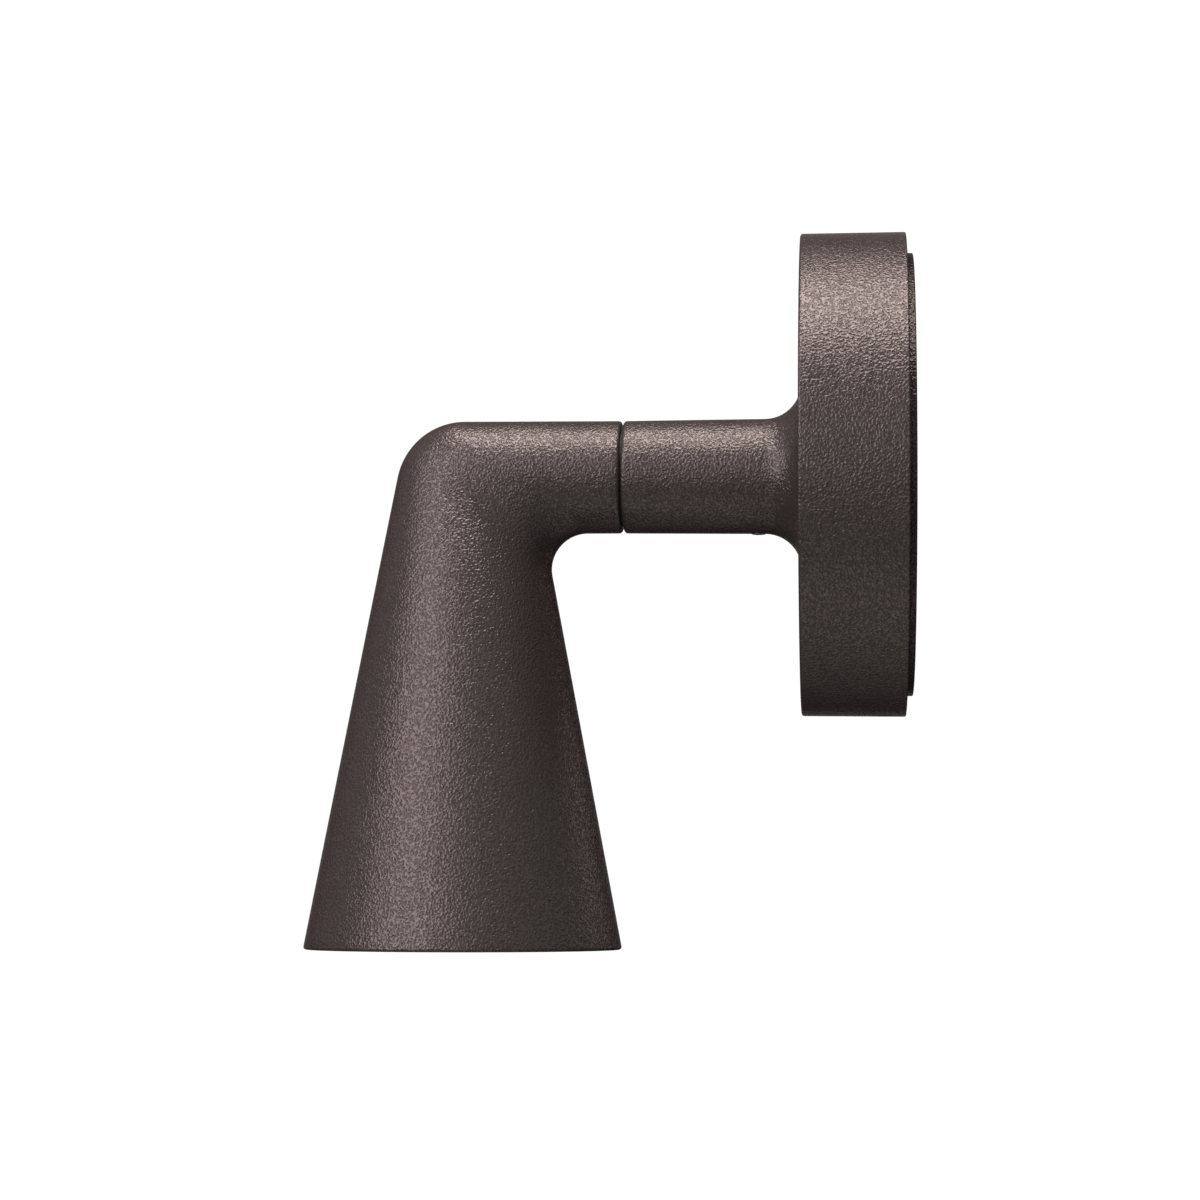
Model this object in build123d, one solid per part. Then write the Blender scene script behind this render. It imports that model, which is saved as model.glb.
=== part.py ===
from build123d import *
from math import cos, hypot, pi, radians, sin, sqrt, tan
import os

# A wall spotlight: a round base with a stem stands on the wall, and a cone-shaped head swivels on
# the stem. Sizes are in millimetres. The origin is the middle of the face that lies on the wall,
# +Z is up, +Y runs into the wall, and the head stands out along -Y. "Out" is a distance from the
# wall along -Y, "drop" a distance below the stem's axis along -Z, so both are positive numbers.

# Main places
reach = 100.0  # wall face to the head's upright axis
head_arm = 35.47  # middle of the swivel gap to the head's upright axis
mouth_drop = 105.5  # stem's axis to the head's mouth

# Clearances, all on radius or per side
thread_clearance = 0.05  # screw, insert or threaded ring in its hole
running_clearance = 0.05  # shaft in the bore it turns in
seat_clearance = 0.3  # loose piece in its seat, lead in its hole

# Base housing, one casting with the stem
plate_proud = 1.57  # shadow gap between the housing's rim and the wall
base_depth = 23.15
base_rear_radius = 53.74
base_draft = 0.44  # degrees
base_front_edge = 0.6
base_rear_edge = 0.3
base_wall = 4.1
base_front_wall = 3.6
seal_shoulder = 3.6  # radial width of the step that the housing seal lies on
boss_radius = 12.0
boss_height = 3.1
stem_tip_radius = 12.57
stem_draft = 0.49  # degrees
stem_root_fillet = 8.08
swivel_gap = 0.4
swivel_edge = 0.8  # rounding on both sides of the gap

# Wall plate
plate_clearance = 0.49  # plate's skirt inside the housing, on radius
plate_floor = 2.5
plate_skirt = 2.0
plate_depth = 9.0
plate_edge = 0.3
seal_thickness = 1.0
gasket_inset = 4.15  # plate's rim to the gasket groove
gasket_width = 2.5
gasket_depth = 1.0
slot_spacing = 60.0
slot_length = 12.0
slot_width = 5.0
hook_width = 12.0
hook_reach = 1.4
hook_depth = 3.0
pillar_radius = 3.6
pillar_height = 3.0
plate_skin = 0.7  # metal left under a blind hole

# Screw that locks the housing to the wall plate, at the bottom of the rim
rim_screw_radius = 2.0
rim_screw_bite = 0.75  # how far its tip enters the plate's skirt
rim_screw_out = 6.0
rim_screw_recess = 0.5

# Mains inlet
grommet_bore = 4.0
grommet_wall = 1.4
grommet_grip = 1.2  # flanges beyond the neck
grommet_lip = 1.4
grommet_recess = 1.2  # how deep the rear flange sits in the plate
grommet_gap = 2.4  # front flange to the terminal block

# Terminal block
pole_pitch = 9.0
pole_count = 3
block_height = 15.0
block_depth = 12.0
block_edge_wall = 5.0
block_rim_gap = 10.15  # block's lower side to the plate's skirt, room for the wires
block_round = 0.8
clamp_side = 5.0
clamp_length = 9.0
wire_height = 4.6  # wire holes above the plate floor
wire_hole = 1.2
clamp_screw_radius = 1.25
clamp_screw_head = 1.9
clamp_screw_head_height = 1.6
block_screw_radius = 1.25
block_screw_head = 2.2
block_screw_head_height = 1.6

# Driver
driver_width = 44.0
driver_depth = 12.5
driver_gap = 2.1  # driver's lower side to the nut's corners
driver_rim_gap = 6.0  # driver's upper corners to the plate's skirt
driver_round = 1.5
ear_width = 9.0
ear_thickness = 2.0
m3_radius = 1.5
m3_head = 2.75
m3_head_height = 2.2
m3_depth = 8.0  # thread in the head casting

# Earth connection on the wall plate
earth_side = 13.0  # screw's middle to the terminal block
earth_wire_room = 2.1  # under the barrel, for the wire's bend
earth_screw_radius = 2.0
earth_screw_head = 3.6
earth_screw_head_height = 2.4
earth_ring_radius = 3.7
earth_ring_thickness = 0.8
earth_barrel_length = 5.0
earth_barrel_wall = 0.5

# Leads
lead_radius = 2.0
wire_radius = 0.8
elbow_bend = 8.0
elbow_setback = 2.0  # lead's upright run to the head's axis
lead_upright = 24.0  # stem's axis to the end of that run
lead_crossing = 16.0  # height over which the lead then crosses to its hole
lead_bend_share = 0.95  # of the room behind the shaft
wire_bend = 2.6
wire_spacing = 2.6  # middle to middle, and from the block's side
wire_rim_gap = 1.0  # outer wire to the plate's skirt

# Swivel
shaft_radius = 8.0
shaft_wall = 3.5
shaft_grip = 14.0  # length held in the head
shaft_flat_depth = 0.8  # flat that keys the stop washer
ring_section = 0.6
ring_setbacks = (6.3, 12.3)  # stem's tip to each ring
ring_groove_depth = 1.25
ring_groove_width = 1.6
friction_ring_inset = 0.77  # inside the rounded edge of the stem's tip
washer_inset = 0.5  # each washer steps in from the boss
stop_washer_thickness = 1.5
stop_tab_width = 2.0
stop_tab_bite = 0.8  # tab's end beyond the stop pin's middle
stop_pin_radius = 1.2
stop_pin_gap = 0.2  # boss to pin
stop_pin_bite = 1.8
stop_pin_overlap = 0.5  # how far the pin stands past the stop washer
spring_washer_stock = 0.7
spring_washer_height = 1.2
nut_across_flats = 22.0
nut_thickness = 4.0
shaft_past_nut = 0.8
bush_flange = 7.0
bush_flange_thickness = 1.2
bush_length = 6.0

# Lock screw under the stem
lock_screw_offset = 9.53  # base's front face to the screw's middle
lock_screw_radius = 1.5
lock_screw_proud = 0.17
lock_groove_depth = 1.2
lock_groove_width = 4.0
lock_screw_gap = 0.2  # tip to the floor of the shaft's groove

# Hex sockets
socket_share = 0.55  # socket's corner radius as a share of the screw's or head's radius
socket_depth = 1.2

# Head casting
dome_extra = 3.09  # dome's radius beyond the tube's
cone_angle = 10.75  # degrees from upright
crown = 0.1  # rise of the head's dome above the tube
elbow_fillet = 8.0
head_wall = 3.6
lip_wall = 2.8
lip_edge = 0.6
glass_seat_wall = 1.87
glass_seat_inset = 16.5  # mouth to the glass seat's shoulder
tube_inner = 6.5
screw_boss_radius = 3.8
screw_boss_inset = 3.63  # boss's middle to the cone's inside
screw_boss_height = 30.0
screw_boss_angles = (-90.0, 30.0, 150.0)

# Light engine
spreader_drop = 47.0
spreader_thickness = 5.0
board_side = 13.5
board_thickness = 1.0
pad_thickness = 0.3
emitter_radius = 4.6
emitter_thickness = 0.7
holder_gap = 0.45  # holder's rim to the spreader screws' heads
holder_thickness = 4.0
holder_window = 5.5
holder_flare = 7.5
holder_screw_inset = 3.0
m25_radius = 1.25
m25_head = 2.2
m25_head_height = 1.6
spreader_skin = 1.5  # metal left over the holder's screws
lead_hole_inset = 0.4  # lead's side to the holder's rim
reflector_wall = 1.2
reflector_rim = 4.6  # width of its flange
reflector_bulge = 3.0
reflector_flange = 1.0
glass_gasket_width = 3.6
glass_gasket_thickness = 1.5
glass_thickness = 4.0
bezel_height = 4.0
bezel_width = 3.35
bezel_flare = 1.6
notch_count = 4
notch_width = 4.0
notch_depth = 1.5

# Places that follow from the sizes above: base and wall plate
swivel_out = reach - head_arm
base_front_out = plate_proud + base_depth
base_front_radius = base_rear_radius - base_depth * tan(radians(base_draft))
cavity_radius = base_rear_radius - base_wall
cavity_inner = cavity_radius - seal_shoulder
cavity_front_out = base_front_out - base_front_wall
plate_radius = cavity_radius - plate_clearance
skirt_inner = plate_radius - plate_skirt
seal_out = plate_depth + seal_thickness
gasket_outer = plate_radius - gasket_inset
grommet_neck = grommet_bore + grommet_wall
grommet_flange = grommet_neck + grommet_grip
boss_out = cavity_front_out - boss_height
lock_screw_out = base_front_out + lock_screw_offset
pillar_out = plate_floor + pillar_height
block_front = plate_floor + block_depth
block_bottom_drop = skirt_inner - block_rim_gap
block_top_drop = block_bottom_drop - block_height
block_middle = -(block_top_drop + block_bottom_drop) / 2
grommet_drop = block_top_drop - grommet_flange - grommet_gap
block_width = (pole_count - 1) * pole_pitch + 2 * block_edge_wall
wire_out = plate_floor + wire_height
outer_wire_round = skirt_inner - wire_rim_gap - wire_radius  # distance from the stem's axis
inner_wire_round = outer_wire_round - wire_spacing
driver_front = plate_floor + driver_depth
ear_reach = 2 * (pillar_radius + seat_clearance)
ear_top = pillar_out + ear_thickness
earth_x = block_width / 2 + earth_side
earth_barrel_end = sqrt(inner_wire_round**2 - earth_x**2) - earth_wire_room
earth_barrel_start = earth_barrel_end - earth_barrel_length
earth_drop = earth_barrel_start - earth_ring_radius - seat_clearance
earth_barrel_radius = wire_radius + thread_clearance + earth_barrel_wall

# Swivel
stem_tip_out = swivel_out - swivel_gap / 2
head_tube_out = swivel_out + swivel_gap / 2
shaft_bore = shaft_radius - shaft_wall
stem_bore = shaft_radius + running_clearance
stop_washer_radius = boss_radius - washer_inset
spring_washer_radius = stop_washer_radius - washer_inset
stop_pin_place = boss_radius + stop_pin_gap + stop_pin_radius
nut_corner_radius = nut_across_flats / 2 / cos(radians(30))
driver_bottom = nut_corner_radius + driver_gap
driver_top = sqrt((skirt_inner - driver_rim_gap) ** 2 - driver_width**2 / 4)
stop_washer_rear = boss_out - stop_washer_thickness
spring_washer_rear = stop_washer_rear - spring_washer_height
nut_rear = spring_washer_rear - nut_thickness
shaft_rear = nut_rear - shaft_past_nut
shaft_front = head_tube_out + shaft_grip
lead_split_out = shaft_rear - bush_flange_thickness

# Head
head_axis = Axis((0, -reach, 0), (0, 0, 1))
slope = radians(cone_angle)
dome_radius = stem_tip_radius + dome_extra
dome_drop = dome_extra - crown
mouth_radius = dome_radius / cos(slope) + (mouth_drop - dome_drop) * tan(slope)
glass_seat_drop = mouth_drop - glass_seat_inset
glass_seat_radius = mouth_radius - glass_seat_inset * tan(slope) - glass_seat_wall
loose_radius = glass_seat_radius - seat_clearance  # reflector, gasket and glass in their seat
gasket_drop = glass_seat_drop + reflector_flange
glass_drop = gasket_drop + glass_gasket_thickness
bezel_drop = glass_drop + glass_thickness
bezel_face = bezel_drop + bezel_height
bezel_radius = glass_seat_radius - thread_clearance
spreader_face = spreader_drop + spreader_thickness
spreader_room = mouth_radius - (mouth_drop - spreader_drop) * tan(slope) - head_wall / cos(slope)
screw_boss_place = spreader_room - screw_boss_inset
board_drop = spreader_face + pad_thickness
board_face = board_drop + board_thickness
holder_radius = screw_boss_place - m3_head - holder_gap
holder_face = spreader_face + holder_thickness
holder_screw_place = holder_radius - holder_screw_inset
holder_screw_drop = holder_face - m25_head_height - seat_clearance
holder_screw_floor = spreader_drop + spreader_skin
lead_hole_place = holder_radius - lead_hole_inset - lead_radius


# Shared shapes
def closed_profile(corners, place):
    """A face from corners of (radius, distance) with an optional rounding as third number."""
    points = [place(corner[0], corner[1]) for corner in corners]
    radii = [corner[2] if len(corner) > 2 else 0 for corner in corners]
    return make_face(FilletPolyline(*points, radius=radii, close=True))


def stem_place(radius, out):
    """A point below the stem's axis."""
    return (0, -out, -radius)


def head_place(radius, drop):
    """A point in front of the head's axis."""
    return (0, -reach - radius, -drop)


def stem_turned(corners):
    """A piece turned about the stem's axis from corners of (radius, out)."""
    return revolve(closed_profile(corners, stem_place), Axis.Y)


def head_turned(corners):
    """A piece turned about the head's axis from corners of (radius, drop)."""
    return revolve(closed_profile(corners, head_place), head_axis)


def stem_ring(inner, outer, near, far):
    """A plain ring about the stem's axis."""
    return stem_turned([(inner, near), (outer, near), (outer, far), (inner, far)])


def head_ring(inner, outer, top, bottom):
    """A plain ring about the head's axis."""
    return head_turned([(inner, top), (outer, top), (outer, bottom), (inner, bottom)])


def stem_rod(radius, near, far, x=0, z=0):
    """A round bar along the stem's direction."""
    return Pos(x, -(near + far) / 2, z) * Rot(90, 0, 0) * Cylinder(radius, far - near)


def head_rod(radius, top, bottom, x=0, y=0):
    """A round bar along the head's axis, x and y from that axis."""
    return Pos(x, y - reach, -(top + bottom) / 2) * Cylinder(radius, bottom - top)


def plate_box(width, near, far, low, high, x=0):
    """A box on the wall plate, from near to far off the wall and from low to high."""
    return Pos(x, -(near + far) / 2, (low + high) / 2) * Box(width, far - near, high - low)


def head_plate(side, top, bottom):
    """A square plate about the head's axis."""
    return Pos(0, -reach, -(top + bottom) / 2) * Box(side, side, bottom - top)


def hex_socket(radius):
    """The recess for a hex key, its open end at the origin, running down along -Z."""
    return extrude(RegularPolygon(radius * socket_share, 6), -socket_depth)


def headed_screw(radius, length, head_radius, head_height):
    """A screw with its head above the origin and its shank along -Z."""
    shank = Pos(0, 0, -length / 2) * Cylinder(radius, length)
    head = Pos(0, 0, head_height / 2) * Cylinder(head_radius, head_height)
    return shank + head - Pos(0, 0, head_height) * hex_socket(head_radius)


def grub_screw(radius, length):
    """A headless screw with its socket at the origin and its tip along -Z."""
    return Pos(0, 0, -length / 2) * Cylinder(radius, length) - hex_socket(radius)


def facing_room(x, out, z):
    """The place of a screw in the wall plate, its head towards the room."""
    return Pos(x, -out, z) * Rot(90, 0, 0)


def facing_down(x, y, z):
    """The place of a screw whose head or socket points down."""
    return Pos(x, y, z) * Rot(180, 0, 0)


def separate(solids):
    """Several like pieces in one group."""
    return Part() + solids


def lead(name, points, radius, bends):
    """A round lead along straight runs and tangent arcs."""
    path = FilletPolyline(*points, radius=bends)
    swept = sweep(Plane(path @ 0, z_dir=path % 0) * Circle(radius), path)
    share = swept.volume / (pi * radius**2 * path.length)
    print(f"{name}: length {path.length:.1f}, bends {bends}, volume over section x length {share:.4f}")
    return swept


def stem_radius_at(out):
    """The stem's outer radius at a distance from the wall."""
    return stem_tip_radius + (stem_tip_out - out) * tan(radians(stem_draft))


def base_radius_at(out):
    """The housing rim's outer radius at a distance from the wall."""
    return base_rear_radius - (out - plate_proud) * tan(radians(base_draft))


def cone_inside_at(drop):
    """The head's inner radius at a drop below the stem's axis."""
    return mouth_radius - (mouth_drop - drop) * tan(slope) - head_wall / cos(slope)


def pole_places():
    """The terminal poles' places across the block."""
    return [(i - (pole_count - 1) / 2) * pole_pitch for i in range(pole_count)]


def block_screw_places():
    """The block's own screws stand between the poles."""
    poles = pole_places()
    return [(a + b) / 2 for a, b in zip(poles, poles[1:])]


def driver_ear_places():
    """The driver's two fixing screws, left and right, and their height."""
    middle = (driver_bottom + driver_top) / 2
    return [(side * (driver_width + ear_reach) / 2, middle) for side in (-1, 1)]


def ring_places():
    """The rubber rings' distances from the wall."""
    return [stem_tip_out - setback for setback in ring_setbacks]


def holder_screw_places():
    """The light holder's two screws, left and right of the head's axis."""
    return [side * holder_screw_place for side in (-1, 1)]


def boss_places():
    """The spreader screws' places about the head's axis."""
    return [
        (screw_boss_place * cos(radians(a)), screw_boss_place * sin(radians(a)))
        for a in screw_boss_angles
    ]


# Wall plate and what is fixed to it
def wall_plate():
    """The pan that is screwed to the wall, with slots, cable hole, hook and pillars."""
    pan = stem_turned([
        (0, 0),
        (plate_radius, 0, plate_edge),
        (plate_radius, plate_depth),
        (skirt_inner, plate_depth),
        (skirt_inner, plate_floor, plate_skirt / 2),
        (0, plate_floor),
    ])
    hook_low = plate_radius - plate_skirt / 2
    pan += plate_box(
        hook_width, plate_depth - hook_depth, plate_depth, hook_low, plate_radius + hook_reach
    )
    pillars = driver_ear_places() + [(earth_x, -earth_drop)]
    for x, z in pillars:
        pan += stem_rod(pillar_radius, plate_floor / 2, pillar_out, x, z)
    for (x, z), radius in zip(pillars, (m3_radius, m3_radius, earth_screw_radius)):
        pan -= stem_rod(radius + thread_clearance, plate_skin, pillar_out, x, z)
    block_hole = block_screw_radius + thread_clearance
    for x in block_screw_places():
        pan -= stem_rod(block_hole, plate_skin, plate_floor, x, block_middle)
    for side in (-1, 1):
        slot = extrude(SlotOverall(slot_length, slot_width), plate_floor, both=True)
        pan -= Pos(side * slot_spacing / 2, 0, 0) * Rot(90, 0, 0) * slot
    pan -= stem_rod(grommet_neck + thread_clearance, 0, plate_floor, 0, -grommet_drop)
    pan -= stem_rod(grommet_flange + seat_clearance, 0, grommet_recess, 0, -grommet_drop)
    pan -= stem_ring(gasket_outer - gasket_width, gasket_outer, 0, gasket_depth)
    tip_room = Cylinder(rim_screw_radius + seat_clearance, 4 * plate_skirt)
    return pan - Pos(0, -rim_screw_out, -plate_radius) * tip_room


def wall_gasket():
    """The foam ring in the plate's rear groove, pressed flush with the wall face."""
    inner = gasket_outer - gasket_width + thread_clearance
    return stem_ring(inner, gasket_outer - thread_clearance, 0, gasket_depth)


def cable_grommet():
    """The rubber inlet for the mains cable, gripping the plate with two flanges."""
    rear = stem_rod(grommet_flange, thread_clearance, grommet_recess, 0, -grommet_drop)
    neck = stem_rod(grommet_neck, thread_clearance, plate_floor + grommet_lip, 0, -grommet_drop)
    front = stem_rod(grommet_flange, plate_floor, plate_floor + grommet_lip, 0, -grommet_drop)
    bore = stem_rod(grommet_bore, 0, plate_floor + 2 * grommet_lip, 0, -grommet_drop)
    return rear + neck + front - bore


def terminal_block():
    """The three-pole block, with pockets for its clamps, screws and wires."""
    body = plate_box(block_width, plate_floor, block_front, -block_bottom_drop, -block_top_drop)
    body = fillet(body.edges().filter_by(Axis.Y), block_round)
    pocket_side = clamp_side + 2 * thread_clearance
    pocket_length = clamp_length / 2 + thread_clearance
    for x in pole_places():
        body -= plate_box(
            pocket_side,
            wire_out - pocket_side / 2,
            wire_out + pocket_side / 2,
            block_middle - pocket_length,
            block_middle + pocket_length,
            x,
        )
        body -= stem_rod(clamp_screw_head + seat_clearance, wire_out, block_front, x, block_middle)
        wire_room = Cylinder(wire_hole, block_height)
        body -= Pos(x, -wire_out, block_middle) * wire_room
    for x in block_screw_places():
        body -= stem_rod(block_screw_radius + thread_clearance, plate_floor, block_front, x, block_middle)
    return body


def terminal_clamps():
    """The brass clamps, bored for the wires and tapped for their screws."""
    clamps = []
    for x in pole_places():
        clamp = plate_box(
            clamp_side,
            wire_out - clamp_side / 2,
            wire_out + clamp_side / 2,
            block_middle - clamp_length / 2,
            block_middle + clamp_length / 2,
            x,
        )
        clamp -= Pos(x, -wire_out, block_middle) * Cylinder(wire_hole, clamp_length)
        tapped = clamp_screw_radius + thread_clearance
        clamps.append(clamp - stem_rod(tapped, wire_out, block_front, x, block_middle))
    return separate(clamps)


def terminal_screws():
    """The clamp screws, tips just above the wires."""
    tip_out = wire_out + wire_radius + thread_clearance
    head_out = wire_out + clamp_side / 2 + seat_clearance
    screw = headed_screw(
        clamp_screw_radius, head_out - tip_out, clamp_screw_head, clamp_screw_head_height
    )
    return separate([facing_room(x, head_out, block_middle) * screw for x in pole_places()])


def terminal_block_screws():
    """The screws that hold the block to the plate."""
    length = block_front - plate_skin - thread_clearance
    screw = headed_screw(block_screw_radius, length, block_screw_head, block_screw_head_height)
    return separate([facing_room(x, block_front, block_middle) * screw for x in block_screw_places()])


def driver():
    """The sealed driver with a fixing ear at each end."""
    body = plate_box(driver_width, plate_floor, driver_front, driver_bottom, driver_top)
    body = fillet(body.edges().filter_by(Axis.Y), driver_round)
    for x, z in driver_ear_places():
        low, high = z - ear_width / 2, z + ear_width / 2
        body += plate_box(ear_reach, pillar_out, ear_top, low, high, x)
        body -= stem_rod(m3_radius + thread_clearance, pillar_out, ear_top, x, z)
    return body


def driver_screws():
    """The screws through the driver's ears into the plate's pillars."""
    length = ear_top - plate_skin - thread_clearance
    screw = headed_screw(m3_radius, length, m3_head, m3_head_height)
    return separate([facing_room(x, ear_top, z) * screw for x, z in driver_ear_places()])


def earth_terminal():
    """The ring terminal under the earth screw, with its crimped barrel."""
    far = pillar_out + earth_ring_thickness
    ring = stem_rod(earth_ring_radius, pillar_out, far, earth_x, -earth_drop)
    neck_high = -earth_drop - earth_screw_radius
    neck_low = -earth_barrel_start - earth_barrel_wall
    ring += plate_box(2 * earth_barrel_radius, pillar_out, far, neck_low, neck_high, earth_x)
    barrel_middle = -earth_barrel_start - earth_barrel_length / 2
    place = Pos(earth_x, -pillar_out - earth_barrel_radius, barrel_middle)
    ring += place * Cylinder(earth_barrel_radius, earth_barrel_length)
    ring -= place * Cylinder(wire_radius + thread_clearance, earth_barrel_length)
    return ring - stem_rod(earth_screw_radius + thread_clearance, pillar_out, far, earth_x, -earth_drop)


def earth_washer():
    """The plain washer between the ring terminal and the screw's head."""
    near = pillar_out + earth_ring_thickness
    far = near + earth_ring_thickness
    washer = stem_rod(earth_ring_radius, near, far, earth_x, -earth_drop)
    return washer - stem_rod(earth_screw_radius + thread_clearance, near, far, earth_x, -earth_drop)


def earth_screw():
    """The earth screw in its pillar."""
    head_out = pillar_out + 2 * earth_ring_thickness
    length = head_out - plate_skin - thread_clearance
    screw = headed_screw(earth_screw_radius, length, earth_screw_head, earth_screw_head_height)
    return facing_room(earth_x, head_out, -earth_drop) * screw


# Base housing and what is fixed to it
def base_housing():
    """The disc and stem in one casting, open to the wall, with the swivel's bore through it."""
    shell = stem_turned([
        (stem_bore, stem_tip_out),
        (stem_tip_radius, stem_tip_out, swivel_edge),
        (stem_radius_at(base_front_out), base_front_out, stem_root_fillet),
        (base_front_radius, base_front_out, base_front_edge),
        (base_rear_radius, plate_proud, base_rear_edge),
        (cavity_radius, plate_proud),
        (cavity_radius, seal_out),
        (cavity_inner, seal_out),
        (cavity_inner, cavity_front_out),
        (boss_radius, cavity_front_out),
        (boss_radius, boss_out),
        (stem_bore, boss_out),
    ])
    hook_near = plate_depth - hook_depth - seat_clearance
    hook_high = plate_radius + hook_reach + seat_clearance
    shell -= plate_box(hook_width + 2 * seat_clearance, hook_near, seal_out, plate_radius, hook_high)
    lock_hole = Cylinder(lock_screw_radius + thread_clearance, 2 * stem_tip_radius)
    shell -= Pos(0, -lock_screw_out, -stem_bore / 2 - stem_tip_radius) * lock_hole
    rim_hole = Cylinder(rim_screw_radius + thread_clearance, 4 * base_wall)
    shell -= Pos(0, -rim_screw_out, -base_rear_radius) * rim_hole
    pin_floor = cavity_front_out + stop_pin_bite
    return shell - stem_rod(
        stop_pin_radius + thread_clearance, cavity_front_out, pin_floor, 0, -stop_pin_place
    )


def housing_seal():
    """The flat ring between the plate's skirt and the step inside the housing."""
    inner = cavity_inner + seat_clearance
    outer = cavity_radius - seat_clearance
    return stem_ring(inner, outer, plate_depth, seal_out)


def housing_lock_screw():
    """The grub screw at the bottom of the rim, its tip in the plate's skirt."""
    face = base_radius_at(rim_screw_out) - rim_screw_recess
    length = face - plate_radius + rim_screw_bite
    return facing_down(0, -rim_screw_out, -face) * grub_screw(rim_screw_radius, length)


def lock_screw():
    """The grub screw under the stem that holds the head's turn."""
    face = stem_radius_at(lock_screw_out) + lock_screw_proud
    tip = shaft_radius - lock_groove_depth + lock_screw_gap
    return facing_down(0, -lock_screw_out, -face) * grub_screw(lock_screw_radius, face - tip)


def friction_washer():
    """The thin ring that fills the swivel gap and the head turns against."""
    inner = shaft_radius + seat_clearance
    outer = stem_tip_radius - swivel_edge - friction_ring_inset
    return stem_ring(inner, outer, stem_tip_out, head_tube_out)


def stop_pin():
    """The pin inside the housing that the stop washer's tab runs up against."""
    near = stop_washer_rear - stop_pin_overlap
    far = cavity_front_out + stop_pin_bite
    return stem_rod(stop_pin_radius, near, far, 0, -stop_pin_place)


# Swivel pieces that turn with the head
def shaft_key(clearance):
    """The shaft's section where it carries the stop washer: round, with a flat on top."""
    size = shaft_radius + clearance
    flat = shaft_radius - shaft_flat_depth + clearance
    top = Pos(0, flat + size) * Rectangle(4 * size, 2 * size)
    return Circle(size) - top


def along_stem(section, near, far):
    """A section drawn as seen from the wall's far side, run along the stem."""
    return Pos(0, -near, 0) * Rot(90, 0, 0) * extrude(section, far - near)


def swivel_shaft():
    """The hollow shaft: threaded into the head, turning in the stem, keyed at its rear end."""
    groove = shaft_radius - lock_groove_depth
    shaft = stem_ring(shaft_bore, shaft_radius, boss_out, shaft_front)
    shaft += along_stem(shaft_key(0) - Circle(shaft_bore), shaft_rear, boss_out)
    near = lock_screw_out - lock_groove_width / 2
    shaft -= stem_ring(groove, stem_bore, near, near + lock_groove_width)
    for out in ring_places():
        near = out - ring_groove_width / 2
        floor = shaft_radius - ring_groove_depth
        shaft -= stem_ring(floor, stem_bore, near, near + ring_groove_width)
    return shaft


def shaft_o_rings():
    """The two rubber rings that keep water out of the stem."""
    ring = Rot(90, 0, 0) * Torus(shaft_radius - ring_section, ring_section)
    return separate([Pos(0, -out, 0) * ring for out in ring_places()])


def stop_washer():
    """The keyed washer on the boss, with the tab that meets the stop pin."""
    tab_reach = stop_pin_place + stop_tab_bite
    tab = Pos(0, tab_reach / 2) * Rectangle(stop_tab_width, tab_reach)
    section = Circle(stop_washer_radius) + tab - shaft_key(thread_clearance)
    return along_stem(section, stop_washer_rear, boss_out)


def spring_washer():
    """The dished washer that keeps the swivel's friction."""
    inner = shaft_radius + seat_clearance
    rise = spring_washer_height - spring_washer_stock
    near = spring_washer_rear
    return stem_turned([
        (inner, near),
        (spring_washer_radius, near + rise),
        (spring_washer_radius, near + rise + spring_washer_stock),
        (inner, near + spring_washer_stock),
    ])


def swivel_nut():
    """The hex nut that draws the head against the stem."""
    section = RegularPolygon(nut_corner_radius, 6) - Circle(shaft_radius + thread_clearance)
    return along_stem(section, nut_rear, spring_washer_rear)


def cable_bush():
    """The plastic bush that guards the lead at the shaft's rear end."""
    sleeve = shaft_bore - thread_clearance
    return stem_turned([
        (lead_radius + seat_clearance, lead_split_out),
        (bush_flange, lead_split_out),
        (bush_flange, shaft_rear),
        (sleeve, shaft_rear),
        (sleeve, shaft_rear + bush_length),
        (lead_radius + seat_clearance, shaft_rear + bush_length),
    ])


# Head
def dome_and_cone(radius, end_radius, end_drop):
    """A solid with a round top of this radius about the dome's centre, running down as a cone."""
    half_turn = (pi / 2 - slope) / 2
    top = head_place(0, dome_drop - radius)
    middle = head_place(radius * sin(half_turn), dome_drop - radius * cos(half_turn))
    shoulder = head_place(radius * cos(slope), dome_drop - radius * sin(slope))
    round_top = ThreePointArc(top, middle, shoulder)
    sides = Polyline(shoulder, head_place(end_radius, end_drop), head_place(0, end_drop), top)
    return revolve(make_face(round_top + sides), head_axis)


def head_outside():
    """The head's outer form: cone, dome and swivel tube with a rounded inner corner."""
    cone = dome_and_cone(dome_radius, mouth_radius, mouth_drop)
    tube = stem_ring(0, stem_tip_radius, head_tube_out, reach)
    joined = cone + tube
    joined = fillet(new_edges(cone, tube, combined=joined), elbow_fillet)
    rim = joined.edges().filter_by_position(Axis.Y, -head_tube_out, -head_tube_out)
    joined = fillet(rim, swivel_edge)
    lip = joined.edges().filter_by_position(Axis.Z, -mouth_drop, -mouth_drop)
    return fillet(lip, lip_edge)


def head_cavity():
    """The hollow of the head: dome and cone inside, glass seat, and flared mouth."""
    inside = dome_and_cone(dome_radius - head_wall, cone_inside_at(glass_seat_drop), glass_seat_drop)
    for x, y in boss_places():
        inside -= head_rod(screw_boss_radius, spreader_drop - screw_boss_height, spreader_drop, x, y)
    inside += head_ring(0, glass_seat_radius, glass_seat_drop, bezel_face)
    return inside + head_turned([
        (0, bezel_face),
        (glass_seat_radius, bezel_face),
        (mouth_radius - lip_wall, mouth_drop),
        (0, mouth_drop),
    ])


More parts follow.
